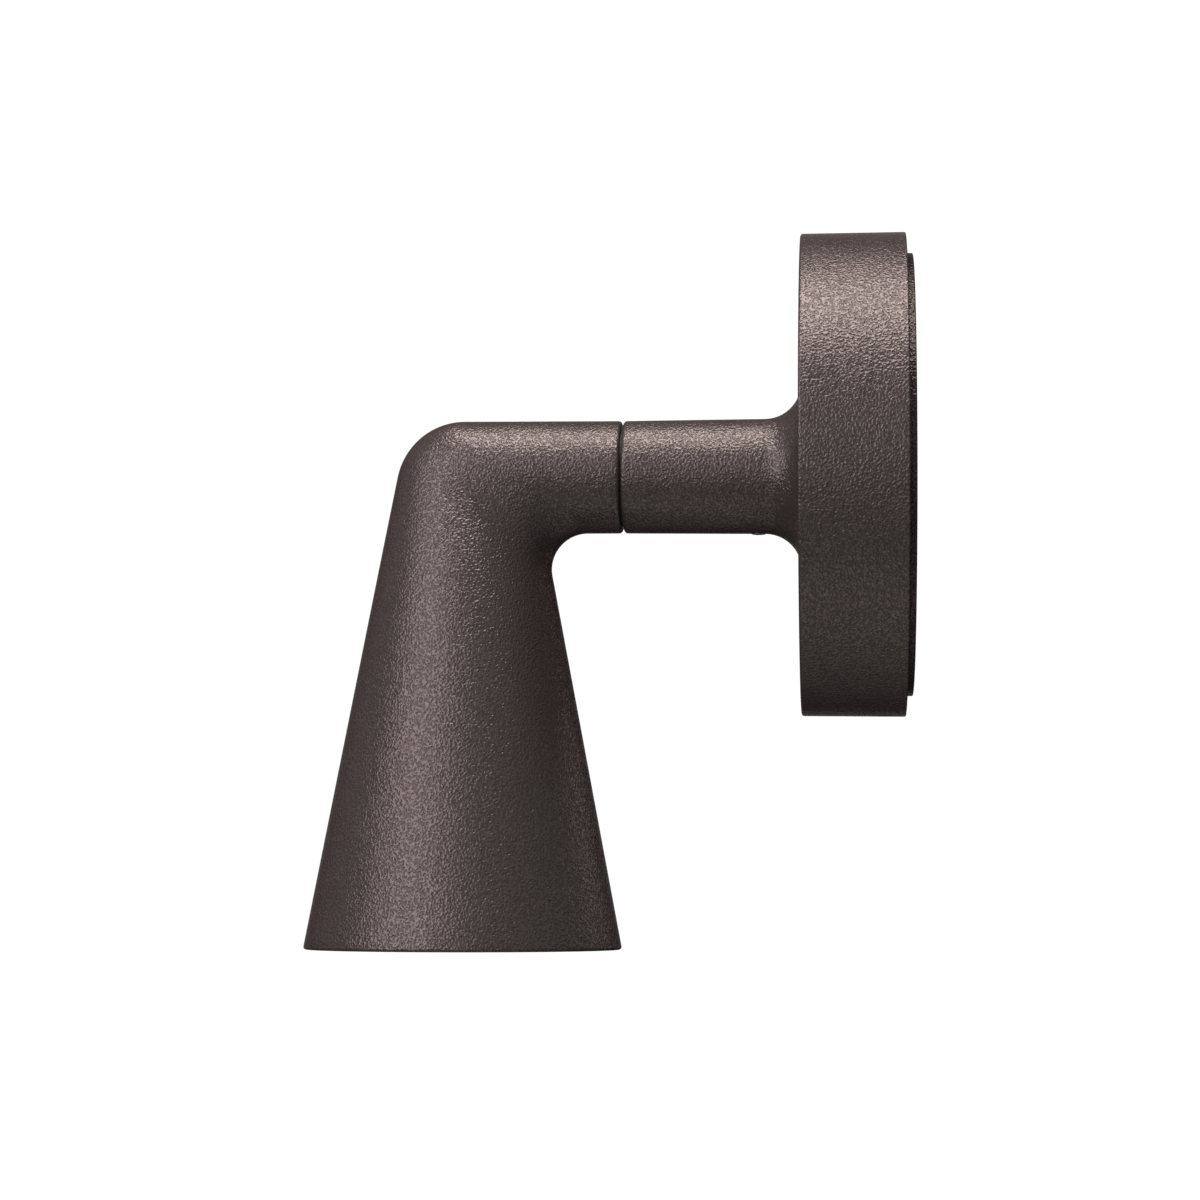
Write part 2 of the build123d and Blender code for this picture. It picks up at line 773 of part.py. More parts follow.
def head_casting():
    """The head's single casting, hollow, bored for the shaft and tapped for the spreader."""
    casting = head_outside() - head_cavity()
    casting -= stem_ring(0, shaft_radius + thread_clearance, head_tube_out, shaft_front)
    casting -= stem_ring(0, tube_inner, shaft_front, reach)
    thread_top = spreader_drop - m3_depth
    for x, y in boss_places():
        casting -= head_rod(m3_radius + thread_clearance, thread_top, spreader_drop, x, y)
    return casting


def heat_spreader():
    """The aluminium disc that carries the light source and passes its heat to the casting."""
    disc = head_ring(0, spreader_room - seat_clearance, spreader_drop, spreader_face)
    for x, y in boss_places():
        disc -= head_rod(m3_radius + thread_clearance, spreader_drop, spreader_face, x, y)
    for x in holder_screw_places():
        disc -= head_rod(m25_radius + thread_clearance, holder_screw_floor, spreader_face, x)
    hole = lead_radius + seat_clearance
    return disc - head_rod(hole, spreader_drop, spreader_face, 0, lead_hole_place)


def spreader_screws():
    """The three screws that hold the spreader to the casting's bosses."""
    length = spreader_thickness + m3_depth - thread_clearance
    screw = headed_screw(m3_radius, length, m3_head, m3_head_height)
    return separate([facing_down(x, y - reach, -spreader_face) * screw for x, y in boss_places()])


def thermal_pad():
    """The soft pad between the spreader and the board."""
    return head_plate(board_side, spreader_face, board_drop)


def led_board():
    """The square metal-core board of the light source."""
    return head_plate(board_side, board_drop, board_face)


def led_emitter():
    """The round light-giving face on the board."""
    return head_ring(0, emitter_radius, board_face, board_face + emitter_thickness)


def led_holder():
    """The moulded holder that clamps the board and carries the reflector."""
    holder = head_turned([
        (holder_window, spreader_face),
        (holder_radius, spreader_face),
        (holder_radius, holder_face),
        (holder_flare, holder_face),
        (holder_window, board_face),
    ])
    holder -= head_plate(board_side + 2 * thread_clearance, spreader_face, board_face)
    for x in holder_screw_places():
        holder -= head_rod(m25_radius + thread_clearance, spreader_face, holder_face, x)
        holder -= head_rod(m25_head + seat_clearance, holder_screw_drop, holder_face, x)
    return holder


def led_holder_screws():
    """The two screws sunk in the holder."""
    length = holder_screw_drop - holder_screw_floor - thread_clearance
    screw = headed_screw(m25_radius, length, m25_head, m25_head_height)
    places = holder_screw_places()
    return separate([facing_down(x, -reach, -holder_screw_drop) * screw for x in places])


def bowed(start, end, bulge):
    """An arc between two places of (radius, drop), bowed outwards by the bulge."""
    length = hypot(end[0] - start[0], end[1] - start[1])
    radius = (start[0] + end[0]) / 2 + bulge * (end[1] - start[1]) / length
    drop = (start[1] + end[1]) / 2 - bulge * (end[0] - start[0]) / length
    return ThreePointArc(head_place(*start), head_place(radius, drop), head_place(*end))


def reflector():
    """The bowl from the holder to the glass, with a flange on the casting's seat."""
    inner_top = (holder_flare, holder_face)
    inner_end = (loose_radius - reflector_rim, gasket_drop)
    outer_top = (holder_flare + reflector_wall, holder_face)
    outer_end = (loose_radius - reflector_rim + reflector_wall, glass_seat_drop)
    bowl = bowed(inner_top, inner_end, reflector_bulge)
    back = bowed(outer_top, outer_end, reflector_bulge)
    flange = Polyline(
        head_place(*inner_end),
        head_place(loose_radius, gasket_drop),
        head_place(loose_radius, glass_seat_drop),
        head_place(*outer_end),
    )
    top = Line(head_place(*inner_top), head_place(*outer_top))
    return revolve(make_face(bowl + flange + back + top), head_axis)


def glass_gasket():
    """The rubber ring between the reflector's flange and the glass."""
    return head_ring(loose_radius - glass_gasket_width, loose_radius, gasket_drop, glass_drop)


def front_glass():
    """The flat tempered glass."""
    return head_ring(0, loose_radius, glass_drop, bezel_drop)


def bezel_ring():
    """The threaded ring that holds the glass, with notches for a pin spanner."""
    inner = bezel_radius - bezel_width
    ring = head_turned([
        (inner, bezel_drop),
        (bezel_radius, bezel_drop),
        (bezel_radius, bezel_face),
        (inner + bezel_flare, bezel_face),
    ])
    notch = Box(2 * bezel_width, notch_width, notch_depth)
    notch = Pos(bezel_radius, 0, notch_depth / 2 - bezel_face) * notch
    for i in range(notch_count):
        ring -= Pos(0, -reach, 0) * Rot(0, 0, i * 360 / notch_count) * notch
    return ring


# Leads
def base_lead():
    """From the driver down behind the shaft, and onto the swivel's axis."""
    low_out = plate_floor + seat_clearance + lead_radius
    bend = (lead_split_out - low_out) * lead_bend_share
    points = [(0, -lead_split_out, 0), (0, -low_out, 0), (0, -low_out, driver_bottom)]
    return lead("base_lead", points, lead_radius, [bend])


def head_lead():
    """From the swivel's axis through the shaft and the elbow, down to the light source."""
    turn_out = reach - elbow_setback
    hole_out = reach - lead_hole_place
    points = [
        (0, -lead_split_out, 0),
        (0, -turn_out, 0),
        (0, -turn_out, -lead_upright),
        (0, -hole_out, -lead_upright - lead_crossing),
        (0, -hole_out, -spreader_face),
    ]
    return lead("head_lead", points, lead_radius, [elbow_bend] * 3)


def pole_wire(name, pole, distance, end_x, end_out, end_z):
    """A wire from a pole down out of the block, round inside the skirt, and up to its end."""
    points = [(pole, -wire_out, block_middle)]
    for x, out in ((pole, wire_out), ((pole + end_x) / 2, wire_out), (end_x, end_out)):
        points.append((x, -out, -sqrt(distance**2 - x**2)))
    points.append((end_x, -end_out, end_z))
    return lead(name, points, wire_radius, [wire_bend] * 3)


def live_lead():
    """The wire from the first pole, past the block's side to the driver."""
    end_x = -block_width / 2 - wire_spacing
    return pole_wire("live_lead", pole_places()[0], inner_wire_round, end_x, wire_out, driver_bottom)


def neutral_lead():
    """The wire from the second pole, outside the live one."""
    end_x = -block_width / 2 - 2 * wire_spacing
    return pole_wire("neutral_lead", pole_places()[1], outer_wire_round, end_x, wire_out, driver_bottom)


def earth_lead():
    """The wire from the last pole to the earth terminal's barrel."""
    end_out = pillar_out + earth_barrel_radius
    end_z = -earth_barrel_start - earth_barrel_wall
    return pole_wire("earth_lead", pole_places()[-1], inner_wire_round, earth_x, end_out, end_z)


pieces = [
    wall_plate,
    wall_gasket,
    cable_grommet,
    terminal_block,
    terminal_clamps,
    terminal_screws,
    terminal_block_screws,
    driver,
    driver_screws,
    earth_terminal,
    earth_washer,
    earth_screw,
    base_housing,
    housing_seal,
    housing_lock_screw,
    lock_screw,
    friction_washer,
    stop_pin,
    swivel_shaft,
    shaft_o_rings,
    stop_washer,
    spring_washer,
    swivel_nut,
    cable_bush,
    head_casting,
    heat_spreader,
    spreader_screws,
    thermal_pad,
    led_board,
    led_emitter,
    led_holder,
    led_holder_screws,
    reflector,
    glass_gasket,
    front_glass,
    bezel_ring,
    base_lead,
    head_lead,
    live_lead,
    neutral_lead,
    earth_lead,
]

os.makedirs("parts", exist_ok=True)
for piece in pieces:
    export_step(piece(), f"parts/{piece.__name__}.step")
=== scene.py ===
"""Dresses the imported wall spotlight: a finish for every piece, the fine shapes of the head and of the
light engine in it, and a plain studio."""

import logging
import math
from abc import ABC, abstractmethod
from dataclasses import dataclass
from enum import Enum
from typing import Mapping, Sequence, Union

import bmesh
import bpy
import numpy as np
from mathutils import Matrix, Vector


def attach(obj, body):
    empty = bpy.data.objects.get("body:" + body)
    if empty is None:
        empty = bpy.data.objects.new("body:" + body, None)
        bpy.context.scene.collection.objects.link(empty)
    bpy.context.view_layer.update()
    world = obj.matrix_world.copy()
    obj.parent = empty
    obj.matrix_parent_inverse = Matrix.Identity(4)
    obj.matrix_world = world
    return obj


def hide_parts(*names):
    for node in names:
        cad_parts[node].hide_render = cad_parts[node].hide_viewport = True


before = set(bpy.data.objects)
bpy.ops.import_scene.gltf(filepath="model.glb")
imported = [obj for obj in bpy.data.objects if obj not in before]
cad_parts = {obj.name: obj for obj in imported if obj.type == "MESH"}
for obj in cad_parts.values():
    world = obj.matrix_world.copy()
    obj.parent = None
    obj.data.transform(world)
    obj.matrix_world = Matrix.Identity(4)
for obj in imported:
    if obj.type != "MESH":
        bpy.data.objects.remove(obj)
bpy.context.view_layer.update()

LOG = logging.getLogger("wall_spotlight")

Colour = tuple[float, float, float]
Point = tuple[float, float, float]
Pair = tuple[float, float]
Lengths = Union[float, np.ndarray]
Operand = Union["Value", float]
Sockets = Mapping[Union[str, int], object]

# How far the head's upright axis stands off the wall face, in metres
HEAD_REACH = 0.100
# Points closer than this, such as those round a pole, are one point
POLE_SIZE = 1e-7
WHITE: Colour = (1.0, 1.0, 1.0)


# Shader kit
class Value:
    """A shader socket for Python expressions. Each operator adds one Math node to its graph."""

    def __init__(self, graph: "Graph", socket: bpy.types.NodeSocket) -> None:
        """Keeps the graph and the output socket that carries the value."""
        self.graph = graph
        self.socket = socket

    def _math(self, operation: str, first: Operand, second: Operand = 0.0) -> "Value":
        """Adds one Math node and gives its result."""
        return self.graph.node("ShaderNodeMath", {"operation": operation}, {0: first, 1: second})

    def __add__(self, other: Operand) -> "Value":
        """self + other"""
        return self._math("ADD", self, other)

    def __radd__(self, other: Operand) -> "Value":
        """other + self"""
        return self._math("ADD", other, self)

    def __sub__(self, other: Operand) -> "Value":
        """self - other"""
        return self._math("SUBTRACT", self, other)

    def __rsub__(self, other: Operand) -> "Value":
        """other - self"""
        return self._math("SUBTRACT", other, self)

    def __mul__(self, other: Operand) -> "Value":
        """self * other"""
        return self._math("MULTIPLY", self, other)

    def __rmul__(self, other: Operand) -> "Value":
        """other * self"""
        return self._math("MULTIPLY", other, self)

    def __abs__(self) -> "Value":
        """abs(self)"""
        return self._math("ABSOLUTE", self)

    def between(self, low: float, high: float) -> "Value":
        """Runs softly from 0 at low to 1 at high, and is held outside."""
        sockets = {"Value": self, "From Min": low, "From Max": high}
        return self.graph.node("ShaderNodeMapRange", {"interpolation_type": "SMOOTHSTEP"}, sockets)


class Graph:
    """The node tree of one material or of the world, with a method for each thing the finishes ask of it.

    Attributes:
        MIX_SHARE, MIX_FIRST, MIX_SECOND, MIX_RESULT: Numbers of the Mix node's sockets, whose names repeat.
    """

    MIX_SHARE, MIX_FIRST, MIX_SECOND, MIX_RESULT = 0, 6, 7, 2

    def __init__(self, tree: bpy.types.NodeTree) -> None:
        """Takes the tree and empties it."""
        self.tree = tree
        tree.nodes.clear()

    def add(self, kind: str, settings: Mapping[str, object], sockets: Sockets) -> bpy.types.Node:
        """Adds any node.

        Args:
            kind: The node's type.
            settings: Its own settings, set first.
            sockets: Values or links of its inputs, by name or number.

        Returns:
            The node.
        """
        made = self.tree.nodes.new(kind)
        for name, setting in settings.items():
            setattr(made, name, setting)
        for key, value in sockets.items():
            if isinstance(value, Value):
                self.tree.links.new(value.socket, made.inputs[key])
            else:
                made.inputs[key].default_value = value
        return made

    def node(
        self, kind: str, settings: Mapping[str, object], sockets: Sockets, output: Union[str, int] = 0
    ) -> Value:
        """Adds a node, as add does, and gives one of its outputs for expressions."""
        return Value(self, self.add(kind, settings, sockets).outputs[output])

    def end(self, kind: str, shader: Value) -> None:
        """Shows a shader through an output node of the given type."""
        self.add(kind, {}, {"Surface": shader})

    def surface(self, sockets: Sockets) -> None:
        """Ends a material in one Principled surface with the given inputs."""
        self.end("ShaderNodeOutputMaterial", self.node("ShaderNodeBsdfPrincipled", {}, sockets))

    def point(self) -> Value:
        """The place on the piece, in metres, in the shared frame."""
        return self.node("ShaderNodeTexCoord", {}, {}, "Object")

    def stretched(self, point: Value, scale: Point) -> Value:
        """A place with each direction times its own factor."""
        return self.node("ShaderNodeMapping", {}, {"Vector": point, "Scale": scale})

    def part(self, point: Value, direction: str) -> Value:
        """One coordinate, X, Y or Z, of a place."""
        return self.node("ShaderNodeSeparateXYZ", {}, {"Vector": point}, direction)

    def ray(self, kind: str) -> Value:
        """1 for rays of one kind and 0 for the others."""
        return self.node("ShaderNodeLightPath", {}, {}, kind)

    def straight_ray(self) -> Value:
        """1 for rays straight from the camera or through glass, and 0 for the others."""
        return self.ray("Is Camera Ray") + self.ray("Is Transmission Ray")

    def noise(self, point: Value, scale: float, detail: float = 1.0, bend: float = 0.0) -> Value:
        """Smooth noise from about 0 to 1, with scale cells in a metre and finer octaves by detail."""
        sockets = {"Vector": point, "Scale": scale, "Detail": detail, "Distortion": bend}
        return self.node("ShaderNodeTexNoise", {}, sockets, "Fac")

    def cells(self, point: Value, scale: float, smoothness: float = 0.3) -> Value:
        """Distance to the middle of the nearest cell, with scale cells in a metre and softened borders."""
        sockets = {"Vector": point, "Scale": scale, "Smoothness": smoothness}
        return self.node("ShaderNodeTexVoronoi", {"feature": "SMOOTH_F1"}, sockets, "Distance")

    def blend(self, share: Operand, first: object, second: object) -> Value:
        """Mixes two colours.

        Args:
            share: 0 gives the first colour, 1 the second.
            first: A colour or a link.
            second: A colour or a link.

        Returns:
            The mixed colour.
        """
        one, other = (c if isinstance(c, Value) else (*c, 1.0) for c in (first, second))
        sockets = {self.MIX_SHARE: share, self.MIX_FIRST: one, self.MIX_SECOND: other}
        return self.node("ShaderNodeMix", {"data_type": "RGBA"}, sockets, self.MIX_RESULT)

    def around(self, mean: float, *swings: tuple[Value, float]) -> Value:
        """A number that patterns move about its mean.

        Args:
            mean: The number where every pattern is at one half.
            swings: Patterns from 0 to 1, each with the step that it makes from its 0 to its 1.

        Returns:
            The moved number.
        """
        lowest = mean - 0.5 * sum(swing for _, swing in swings)
        return sum((pattern * swing for pattern, swing in swings), lowest)

    def bump(self, height: Value, relief: float, strength: float = 1.0) -> Value:
        """Tilts the normal by a height from 0 to 1, where 1 stands for the relief in metres."""
        return self.node("ShaderNodeBump", {}, {"Height": height, "Distance": relief, "Strength": strength})


# Finishes
class Lay(Enum):
    """Which way the tool marks of a machined piece run. The value is the direction square to the marks."""

    AROUND_STEM = "Y"
    AROUND_HEAD = "Z"
    ACROSS = "X"


def shaded(colour: Colour, factor: float, lift: float = 0.0) -> Colour:
    """The colour with each part times the factor and plus the lift."""
    return tuple(factor * part + lift for part in colour)


@dataclass(frozen=True)
class Finish(ABC):
    """A surface finish that any number of pieces can share.

    Attributes:
        slot: The record's material slot that the finish stands for.
    """

    slot: str

    @abstractmethod
    def paint(self, graph: Graph) -> Sockets:
        """Works out the surface's inputs.

        Args:
            graph: The graph that takes the nodes.

        Returns:
            Values and links for the Principled surface.
        """

    def material(self) -> bpy.types.Material:
        """The finish as a material, made once.

        Returns:
            The material.
        """
        name = f"{self.slot}_finish"
        found = bpy.data.materials.get(name)
        if found is None:
            found = bpy.data.materials.new(name)
            found.use_nodes = True
            graph = Graph(found.node_tree)
            graph.surface(self.paint(graph))
        return found


@dataclass(frozen=True)
class TexturedCoat(Finish):
    """Powder coat with a fine wrinkled grain and a little metal flake on its crests.

    Attributes:
        valley: Colour between the grains.
        crest: Colour on top of the grains.
        grain: Width of a grain in metres.
        relief: Height of a grain in metres.
        roughness: Mean roughness of the resin.
        flake: Share of metal flake on the crests.
        gloss: Specular level of the resin.
        edge: Colour of the flake's reflections at a grazing view.
        bend: How far the grains are bent into each other.
        clouds: Clouds of colour in a metre.
        clouding: Share of the colour that follows the clouds and not the grains.
        bare: Share of the flake that the valleys go without.
        unevenness: Change of the roughness over the clouds.
    """

    valley: Colour
    crest: Colour
    grain: float = 0.00050
    relief: float = 0.00018
    roughness: float = 0.25
    flake: float = 0.68
    gloss: float = 0.0
    edge: Colour = (0.115, 0.107, 0.111)
    bend: float = 0.4
    clouds: float = 160.0
    clouding: float = 0.2
    bare: float = 0.33
    unevenness: float = 0.08

    def paint(self, graph: Graph) -> Sockets:
        """Bent noise gives short grains with flake on their crests, and slow noise clouds the colour.

        Args:
            graph: The graph that takes the nodes.

        Returns:
            Values and links for the Principled surface.
        """
        point = graph.point()
        height = graph.noise(point, 1.0 / self.grain, detail=0.0, bend=self.bend)
        cloud = graph.noise(point, self.clouds, detail=2.0)
        crest = height.between(low=0.40, high=0.64)
        share = crest * (1.0 - self.clouding) + cloud * self.clouding
        return {
            "Base Color": graph.blend(share, self.valley, self.crest),
            "Metallic": crest * (self.bare * self.flake) + (1.0 - self.bare) * self.flake,
            "Roughness": graph.around(self.roughness, (cloud, self.unevenness)),
            "Specular IOR Level": self.gloss,
            "Specular Tint": (*self.edge, 1.0),
            "Normal": graph.bump(height, self.relief),
        }


@dataclass(frozen=True)
class SoftRubber(Finish):
    """Moulded rubber with a dull skin and a trace of dust.

    Attributes:
        colour: Colour of the skin.
        cell: Width of the skin's pores in metres.
        relief: Depth of the pores in metres.
        roughness: Roughness of the clean skin.
        gloss: Specular level of the skin.
        specks: Specks of dust in a metre.
        cover: How much of the colour a speck covers.
        dryness: What a speck adds to the roughness.
    """

    colour: Colour
    cell: float = 0.0004
    relief: float = 0.00004
    roughness: float = 0.78
    gloss: float = 0.35
    specks: float = 260.0
    cover: float = 0.6
    dryness: float = 0.12

    def paint(self, graph: Graph) -> Sockets:
        """Soft cells are the pores, and slow noise is the dust, which is paler and rougher.

        Args:
            graph: The graph that takes the nodes.

        Returns:
            Values and links for the Principled surface.
        """
        point = graph.point()
        pores = graph.cells(point, 1.0 / self.cell)
        dust = graph.noise(point, self.specks, detail=3.0).between(low=0.45, high=0.75)
        dusty = shaded(self.colour, factor=0.75, lift=0.05)
        return {
            "Base Color": graph.blend(dust * self.cover, self.colour, dusty),
            "Roughness": dust * self.dryness + self.roughness,
            "Specular IOR Level": self.gloss,
            "Normal": graph.bump(pores, self.relief, strength=0.6),
        }


@dataclass(frozen=True)
class MouldedPlastic(Finish):
    """Moulded plastic with a faint spark-eroded skin and slow flow marks.

    Attributes:
        colour: Colour of the plastic.
        roughness: Mean roughness.
        skin: Width of the skin's grain in metres.
        relief: Height of that grain in metres.
        marks: Flow marks in a metre.
        drawn: How quickly the flow marks change in each direction.
        cover: How much of the colour a flow mark shades.
        skin_swing: Change of the roughness over the skin's grain.
        flow_swing: Change of the roughness over the flow marks.
    """

    colour: Colour
    roughness: float = 0.42
    skin: float = 0.00030
    relief: float = 0.00002
    marks: float = 180.0
    drawn: Point = (1.0, 0.35, 1.0)
    cover: float = 0.5
    skin_swing: float = 0.08
    flow_swing: float = 0.10

    def paint(self, graph: Graph) -> Sockets:
        """Fine noise is the mould's skin, and noise drawn out along the piece is the flow of the plastic.

        Args:
            graph: The graph that takes the nodes.

        Returns:
            Values and links for the Principled surface.
        """
        point = graph.point()
        skin = graph.noise(point, 1.0 / self.skin)
        flow = graph.noise(graph.stretched(point, self.drawn), self.marks, detail=2.0)
        share = flow.between(low=0.35, high=0.65) * self.cover
        return {
            "Base Color": graph.blend(share, self.colour, shaded(self.colour, factor=0.86)),
            "Roughness": graph.around(self.roughness, (skin, self.skin_swing), (flow, self.flow_swing)),
            "Normal": graph.bump(skin, self.relief, strength=0.5),
        }


@dataclass(frozen=True)
class MachinedMetal(Finish):
    """Bare or plated metal with fine tool marks and a slow stain.

    Attributes:
        colour: Colour of the clean metal.
        stain: Colour of the stained metal.
        roughness: Mean roughness.
        lay: Which way the tool marks run.
        mark: Spacing of the tool marks in metres.
        relief: Depth of the tool marks in metres.
        drawn: How quickly a mark changes along itself, as a share of the change across it.
        stains: Stains in a metre.
        cover: How much of the colour a stain covers.
        mark_swing: Change of the roughness over the tool marks.
        stain_swing: Change of the roughness over the stains.
    """

    colour: Colour
    stain: Colour
    roughness: float = 0.30
    lay: Lay = Lay.AROUND_STEM
    mark: float = 0.00018
    relief: float = 0.000012
    drawn: float = 0.04
    stains: float = 320.0
    cover: float = 0.7
    mark_swing: float = 0.16
    stain_swing: float = 0.12

    def paint(self, graph: Graph) -> Sockets:
        """Tool marks are noise that changes quickly along one direction only, and the stain is slow noise.

        Args:
            graph: The graph that takes the nodes.

        Returns:
            Values and links for the Principled surface.
        """
        point = graph.point()
        scale = tuple(1.0 if axis == self.lay.value else self.drawn for axis in "XYZ")
        marks = graph.noise(graph.stretched(point, scale), 1.0 / self.mark, detail=2.0)
        stain = graph.noise(point, self.stains, detail=3.0)
        share = stain.between(low=0.42, high=0.72) * self.cover
        return {
            "Base Color": graph.blend(share, self.colour, self.stain),
            "Metallic": 1.0,
            "Roughness": graph.around(self.roughness, (marks, self.mark_swing), (stain, self.stain_swing)),
            "Normal": graph.bump(marks, self.relief, strength=0.7),
        }


@dataclass(frozen=True)
class BrightBowl(Finish):
    """Bright anodised aluminium, softly peened.

    Attributes:
        colour: Colour of the metal.
        dimple: Width of the peened dimples in metres.
        relief: Depth of the dimples in metres.
        roughness: Mean roughness.
        hazes: Hazy spots in a metre.
        haze_swing: Change of the roughness over the haze.
    """

    colour: Colour
    dimple: float = 0.0007
    relief: float = 0.00003
    roughness: float = 0.17
    hazes: float = 240.0
    haze_swing: float = 0.10

    def paint(self, graph: Graph) -> Sockets:
        """Soft cells are the peening, and slow noise is the anodised haze.

        Args:
            graph: The graph that takes the nodes.

        Returns:
            Values and links for the Principled surface.
        """
        point = graph.point()
        dimples = graph.cells(point, 1.0 / self.dimple, smoothness=0.8)
        haze = graph.noise(point, self.hazes, detail=2.0)
        return {
            "Base Color": graph.blend(haze, self.colour, shaded(self.colour, factor=0.9)),
            "Metallic": 1.0,
            "Roughness": graph.around(self.roughness, (haze, self.haze_swing)),
            "Normal": graph.bump(dimples, self.relief, strength=0.6),
        }


@dataclass(frozen=True)
class ClearGlass(Finish):
    """Tempered float glass with faint wipe marks.

    Attributes:
        colour: Colour of the light that passes.
        wipes: Wipe marks in a metre.
        drawn: How quickly the wipe marks change in each direction.
        smear: Roughness of a wipe mark.
        bending: The glass's index of refraction.
    """

    colour: Colour
    wipes: float = 420.0
    drawn: Point = (1.0, 0.12, 1.0)
    smear: float = 0.05
    bending: float = 1.5

    def paint(self, graph: Graph) -> Sockets:
        """The wipe marks are drawn-out noise that only roughens the surface a little.

        Args:
            graph: The graph that takes the nodes.

        Returns:
            Values and links for the Principled surface.
        """
        wiped = graph.noise(graph.stretched(graph.point(), self.drawn), self.wipes, detail=3.0)
        return {
            "Base Color": (*self.colour, 1.0),
            "Roughness": wiped.between(low=0.5, high=0.85) * self.smear,
            "IOR": self.bending,
            "Transmission Weight": 1.0,
        }


@dataclass(frozen=True)
class PhosphorGel(Finish):
    """Silicone filled with yellow phosphor grains.

    Attributes:
        colour: Colour of the gel.
        grain_colour: Colour of the denser grains.
        grains: Grains in a metre.
        pools: Places in a metre where the grains have settled.
        pooling: Share of the colour that follows the pools and not the grains.
        relief: Height of the gel's waves in metres.
        roughness: Mean roughness.
        grain_swing: Change of the roughness over the grains.
        coat: Weight of the clear gel on top.
    """

    colour: Colour
    grain_colour: Colour
    grains: float = 5200.0
    pools: float = 700.0
    pooling: float = 0.3
    relief: float = 0.00004
    roughness: float = 0.26
    grain_swing: float = 0.12
    coat: float = 0.4

    def paint(self, graph: Graph) -> Sockets:
        """Small cells are the grains, which slow noise gathers in pools, under a smooth gel surface.

        Args:
            graph: The graph that takes the nodes.

        Returns:
            Values and links for the Principled surface.
        """
        point = graph.point()
        grains = graph.cells(point, self.grains)
        pooled = graph.noise(point, self.pools, detail=2.0)
        share = grains * (1.0 - self.pooling) + pooled * self.pooling
        return {
            "Base Color": graph.blend(share, self.grain_colour, self.colour),
            "Roughness": graph.around(self.roughness, (grains, self.grain_swing)),
            "Coat Weight": self.coat,
            "Normal": graph.bump(pooled, self.relief, strength=0.5),
        }


@dataclass(frozen=True)
class WireSleeve(Finish):
    """Insulation of a lead that lies along the wall, with an optional stripe on each flank.

    Attributes:
        colour: Colour of the insulation.
        stripe: Colour of the stripe, or None.
        middle: Distance of the wire's middle from the wall, in metres.
        half: Half the stripe's width, in metres.
        border: Where the stripe's soft border begins, as a share of that half.
        spots: Spots of the skin in a metre.
        relief: Height of the skin's spots in metres.
        roughness: Mean roughness.
        skin_swing: Change of the roughness over the skin.
    """

    colour: Colour
    stripe: Union[Colour, None] = None
    middle: float = 0.0071
    half: float = 0.00038
    border: float = 0.85
    spots: float = 1500.0
    relief: float = 0.00002
    roughness: float = 0.455
    skin_swing: float = 0.15

    def paint(self, graph: Graph) -> Sockets:
        """Fine noise is the uneven skin. The stripe is where the depth is near the wire's middle.

        Args:
            graph: The graph that takes the nodes.

        Returns:
            Values and links for the Principled surface.
        """
        point = graph.point()
        skin = graph.noise(point, self.spots, detail=2.0)
        shade = shaded(self.colour, factor=0.8)
        colour = graph.blend(skin.between(low=0.4, high=0.7), self.colour, shade)
        if self.stripe is not None:
            depth = abs(graph.part(point, "Y") + self.middle)
            inside = 1.0 - depth.between(self.border * self.half, self.half)
            colour = graph.blend(inside, colour, self.stripe)
        return {
            "Base Color": colour,
            "Roughness": graph.around(self.roughness, (skin, self.skin_swing)),
            "Normal": graph.bump(skin, self.relief, strength=0.5),
        }


BRONZE = TexturedCoat("bronze_coat", (0.130, 0.1029, 0.0970), (0.225, 0.1800, 0.1662))
# The plate wears the bronze coat darkened: painted shade of the gap behind the base.
SHADED_BRONZE = TexturedCoat("plate_coat", (0.090, 0.0710, 0.0660), (0.145, 0.1150, 0.1070))
BLACK = TexturedCoat(
    "black_coat", (0.012, 0.0115, 0.0115), (0.026, 0.025, 0.025),
    grain=0.0004, relief=0.00006, roughness=0.50, flake=0.0, gloss=0.4, edge=WHITE,
)
FOAM = SoftRubber("foam_black", (0.020, 0.020, 0.020), cell=0.0011, relief=0.00022, roughness=0.90)
RUBBER = SoftRubber("rubber_black", (0.024, 0.024, 0.025))
THERMAL_PAD = SoftRubber("pad_grey", (0.36, 0.37, 0.39), cell=0.0003, relief=0.00003, roughness=0.85)
DARK_PLASTIC = MouldedPlastic("polymer_dark", (0.026, 0.025, 0.025), roughness=0.48)
CREAM_BLOCK = MouldedPlastic("block_cream", (0.70, 0.67, 0.58), roughness=0.40)
WHITE_CASE = MouldedPlastic("driver_white", (0.74, 0.74, 0.71), roughness=0.46)
WHITE_HOLDER = MouldedPlastic("holder_white", (0.80, 0.80, 0.77), roughness=0.38)
WHITE_BOARD = MouldedPlastic("board_white", (0.82, 0.82, 0.79), roughness=0.30, skin=0.00012)
BRASS = MachinedMetal("brass", (0.78, 0.57, 0.27), (0.60, 0.40, 0.17))
ZINC = MachinedMetal("zinc_steel", (0.62, 0.62, 0.60), (0.50, 0.52, 0.55), 0.34, Lay.ACROSS)
BLACK_STEEL = MachinedMetal(
    "black_steel", (0.075, 0.066, 0.062), (0.045, 0.040, 0.038), 0.42, Lay.AROUND_HEAD
)
ALUMINIUM = MachinedMetal("bare_aluminium", (0.72, 0.72, 0.73), (0.60, 0.61, 0.63), 0.34, Lay.AROUND_HEAD)
BOWL = BrightBowl("bright_aluminium", (0.86, 0.86, 0.87))
GLASS = ClearGlass("clear_glass", (0.97, 0.99, 0.985))
PHOSPHOR = PhosphorGel("phosphor", (0.86, 0.60, 0.10), (0.93, 0.74, 0.22))
LEAD_SLEEVE = WireSleeve("lead_black", (0.032, 0.032, 0.033))
BROWN_WIRE = WireSleeve("wire_brown", (0.19, 0.080, 0.038))
BLUE_WIRE = WireSleeve("wire_blue", (0.042, 0.13, 0.40))
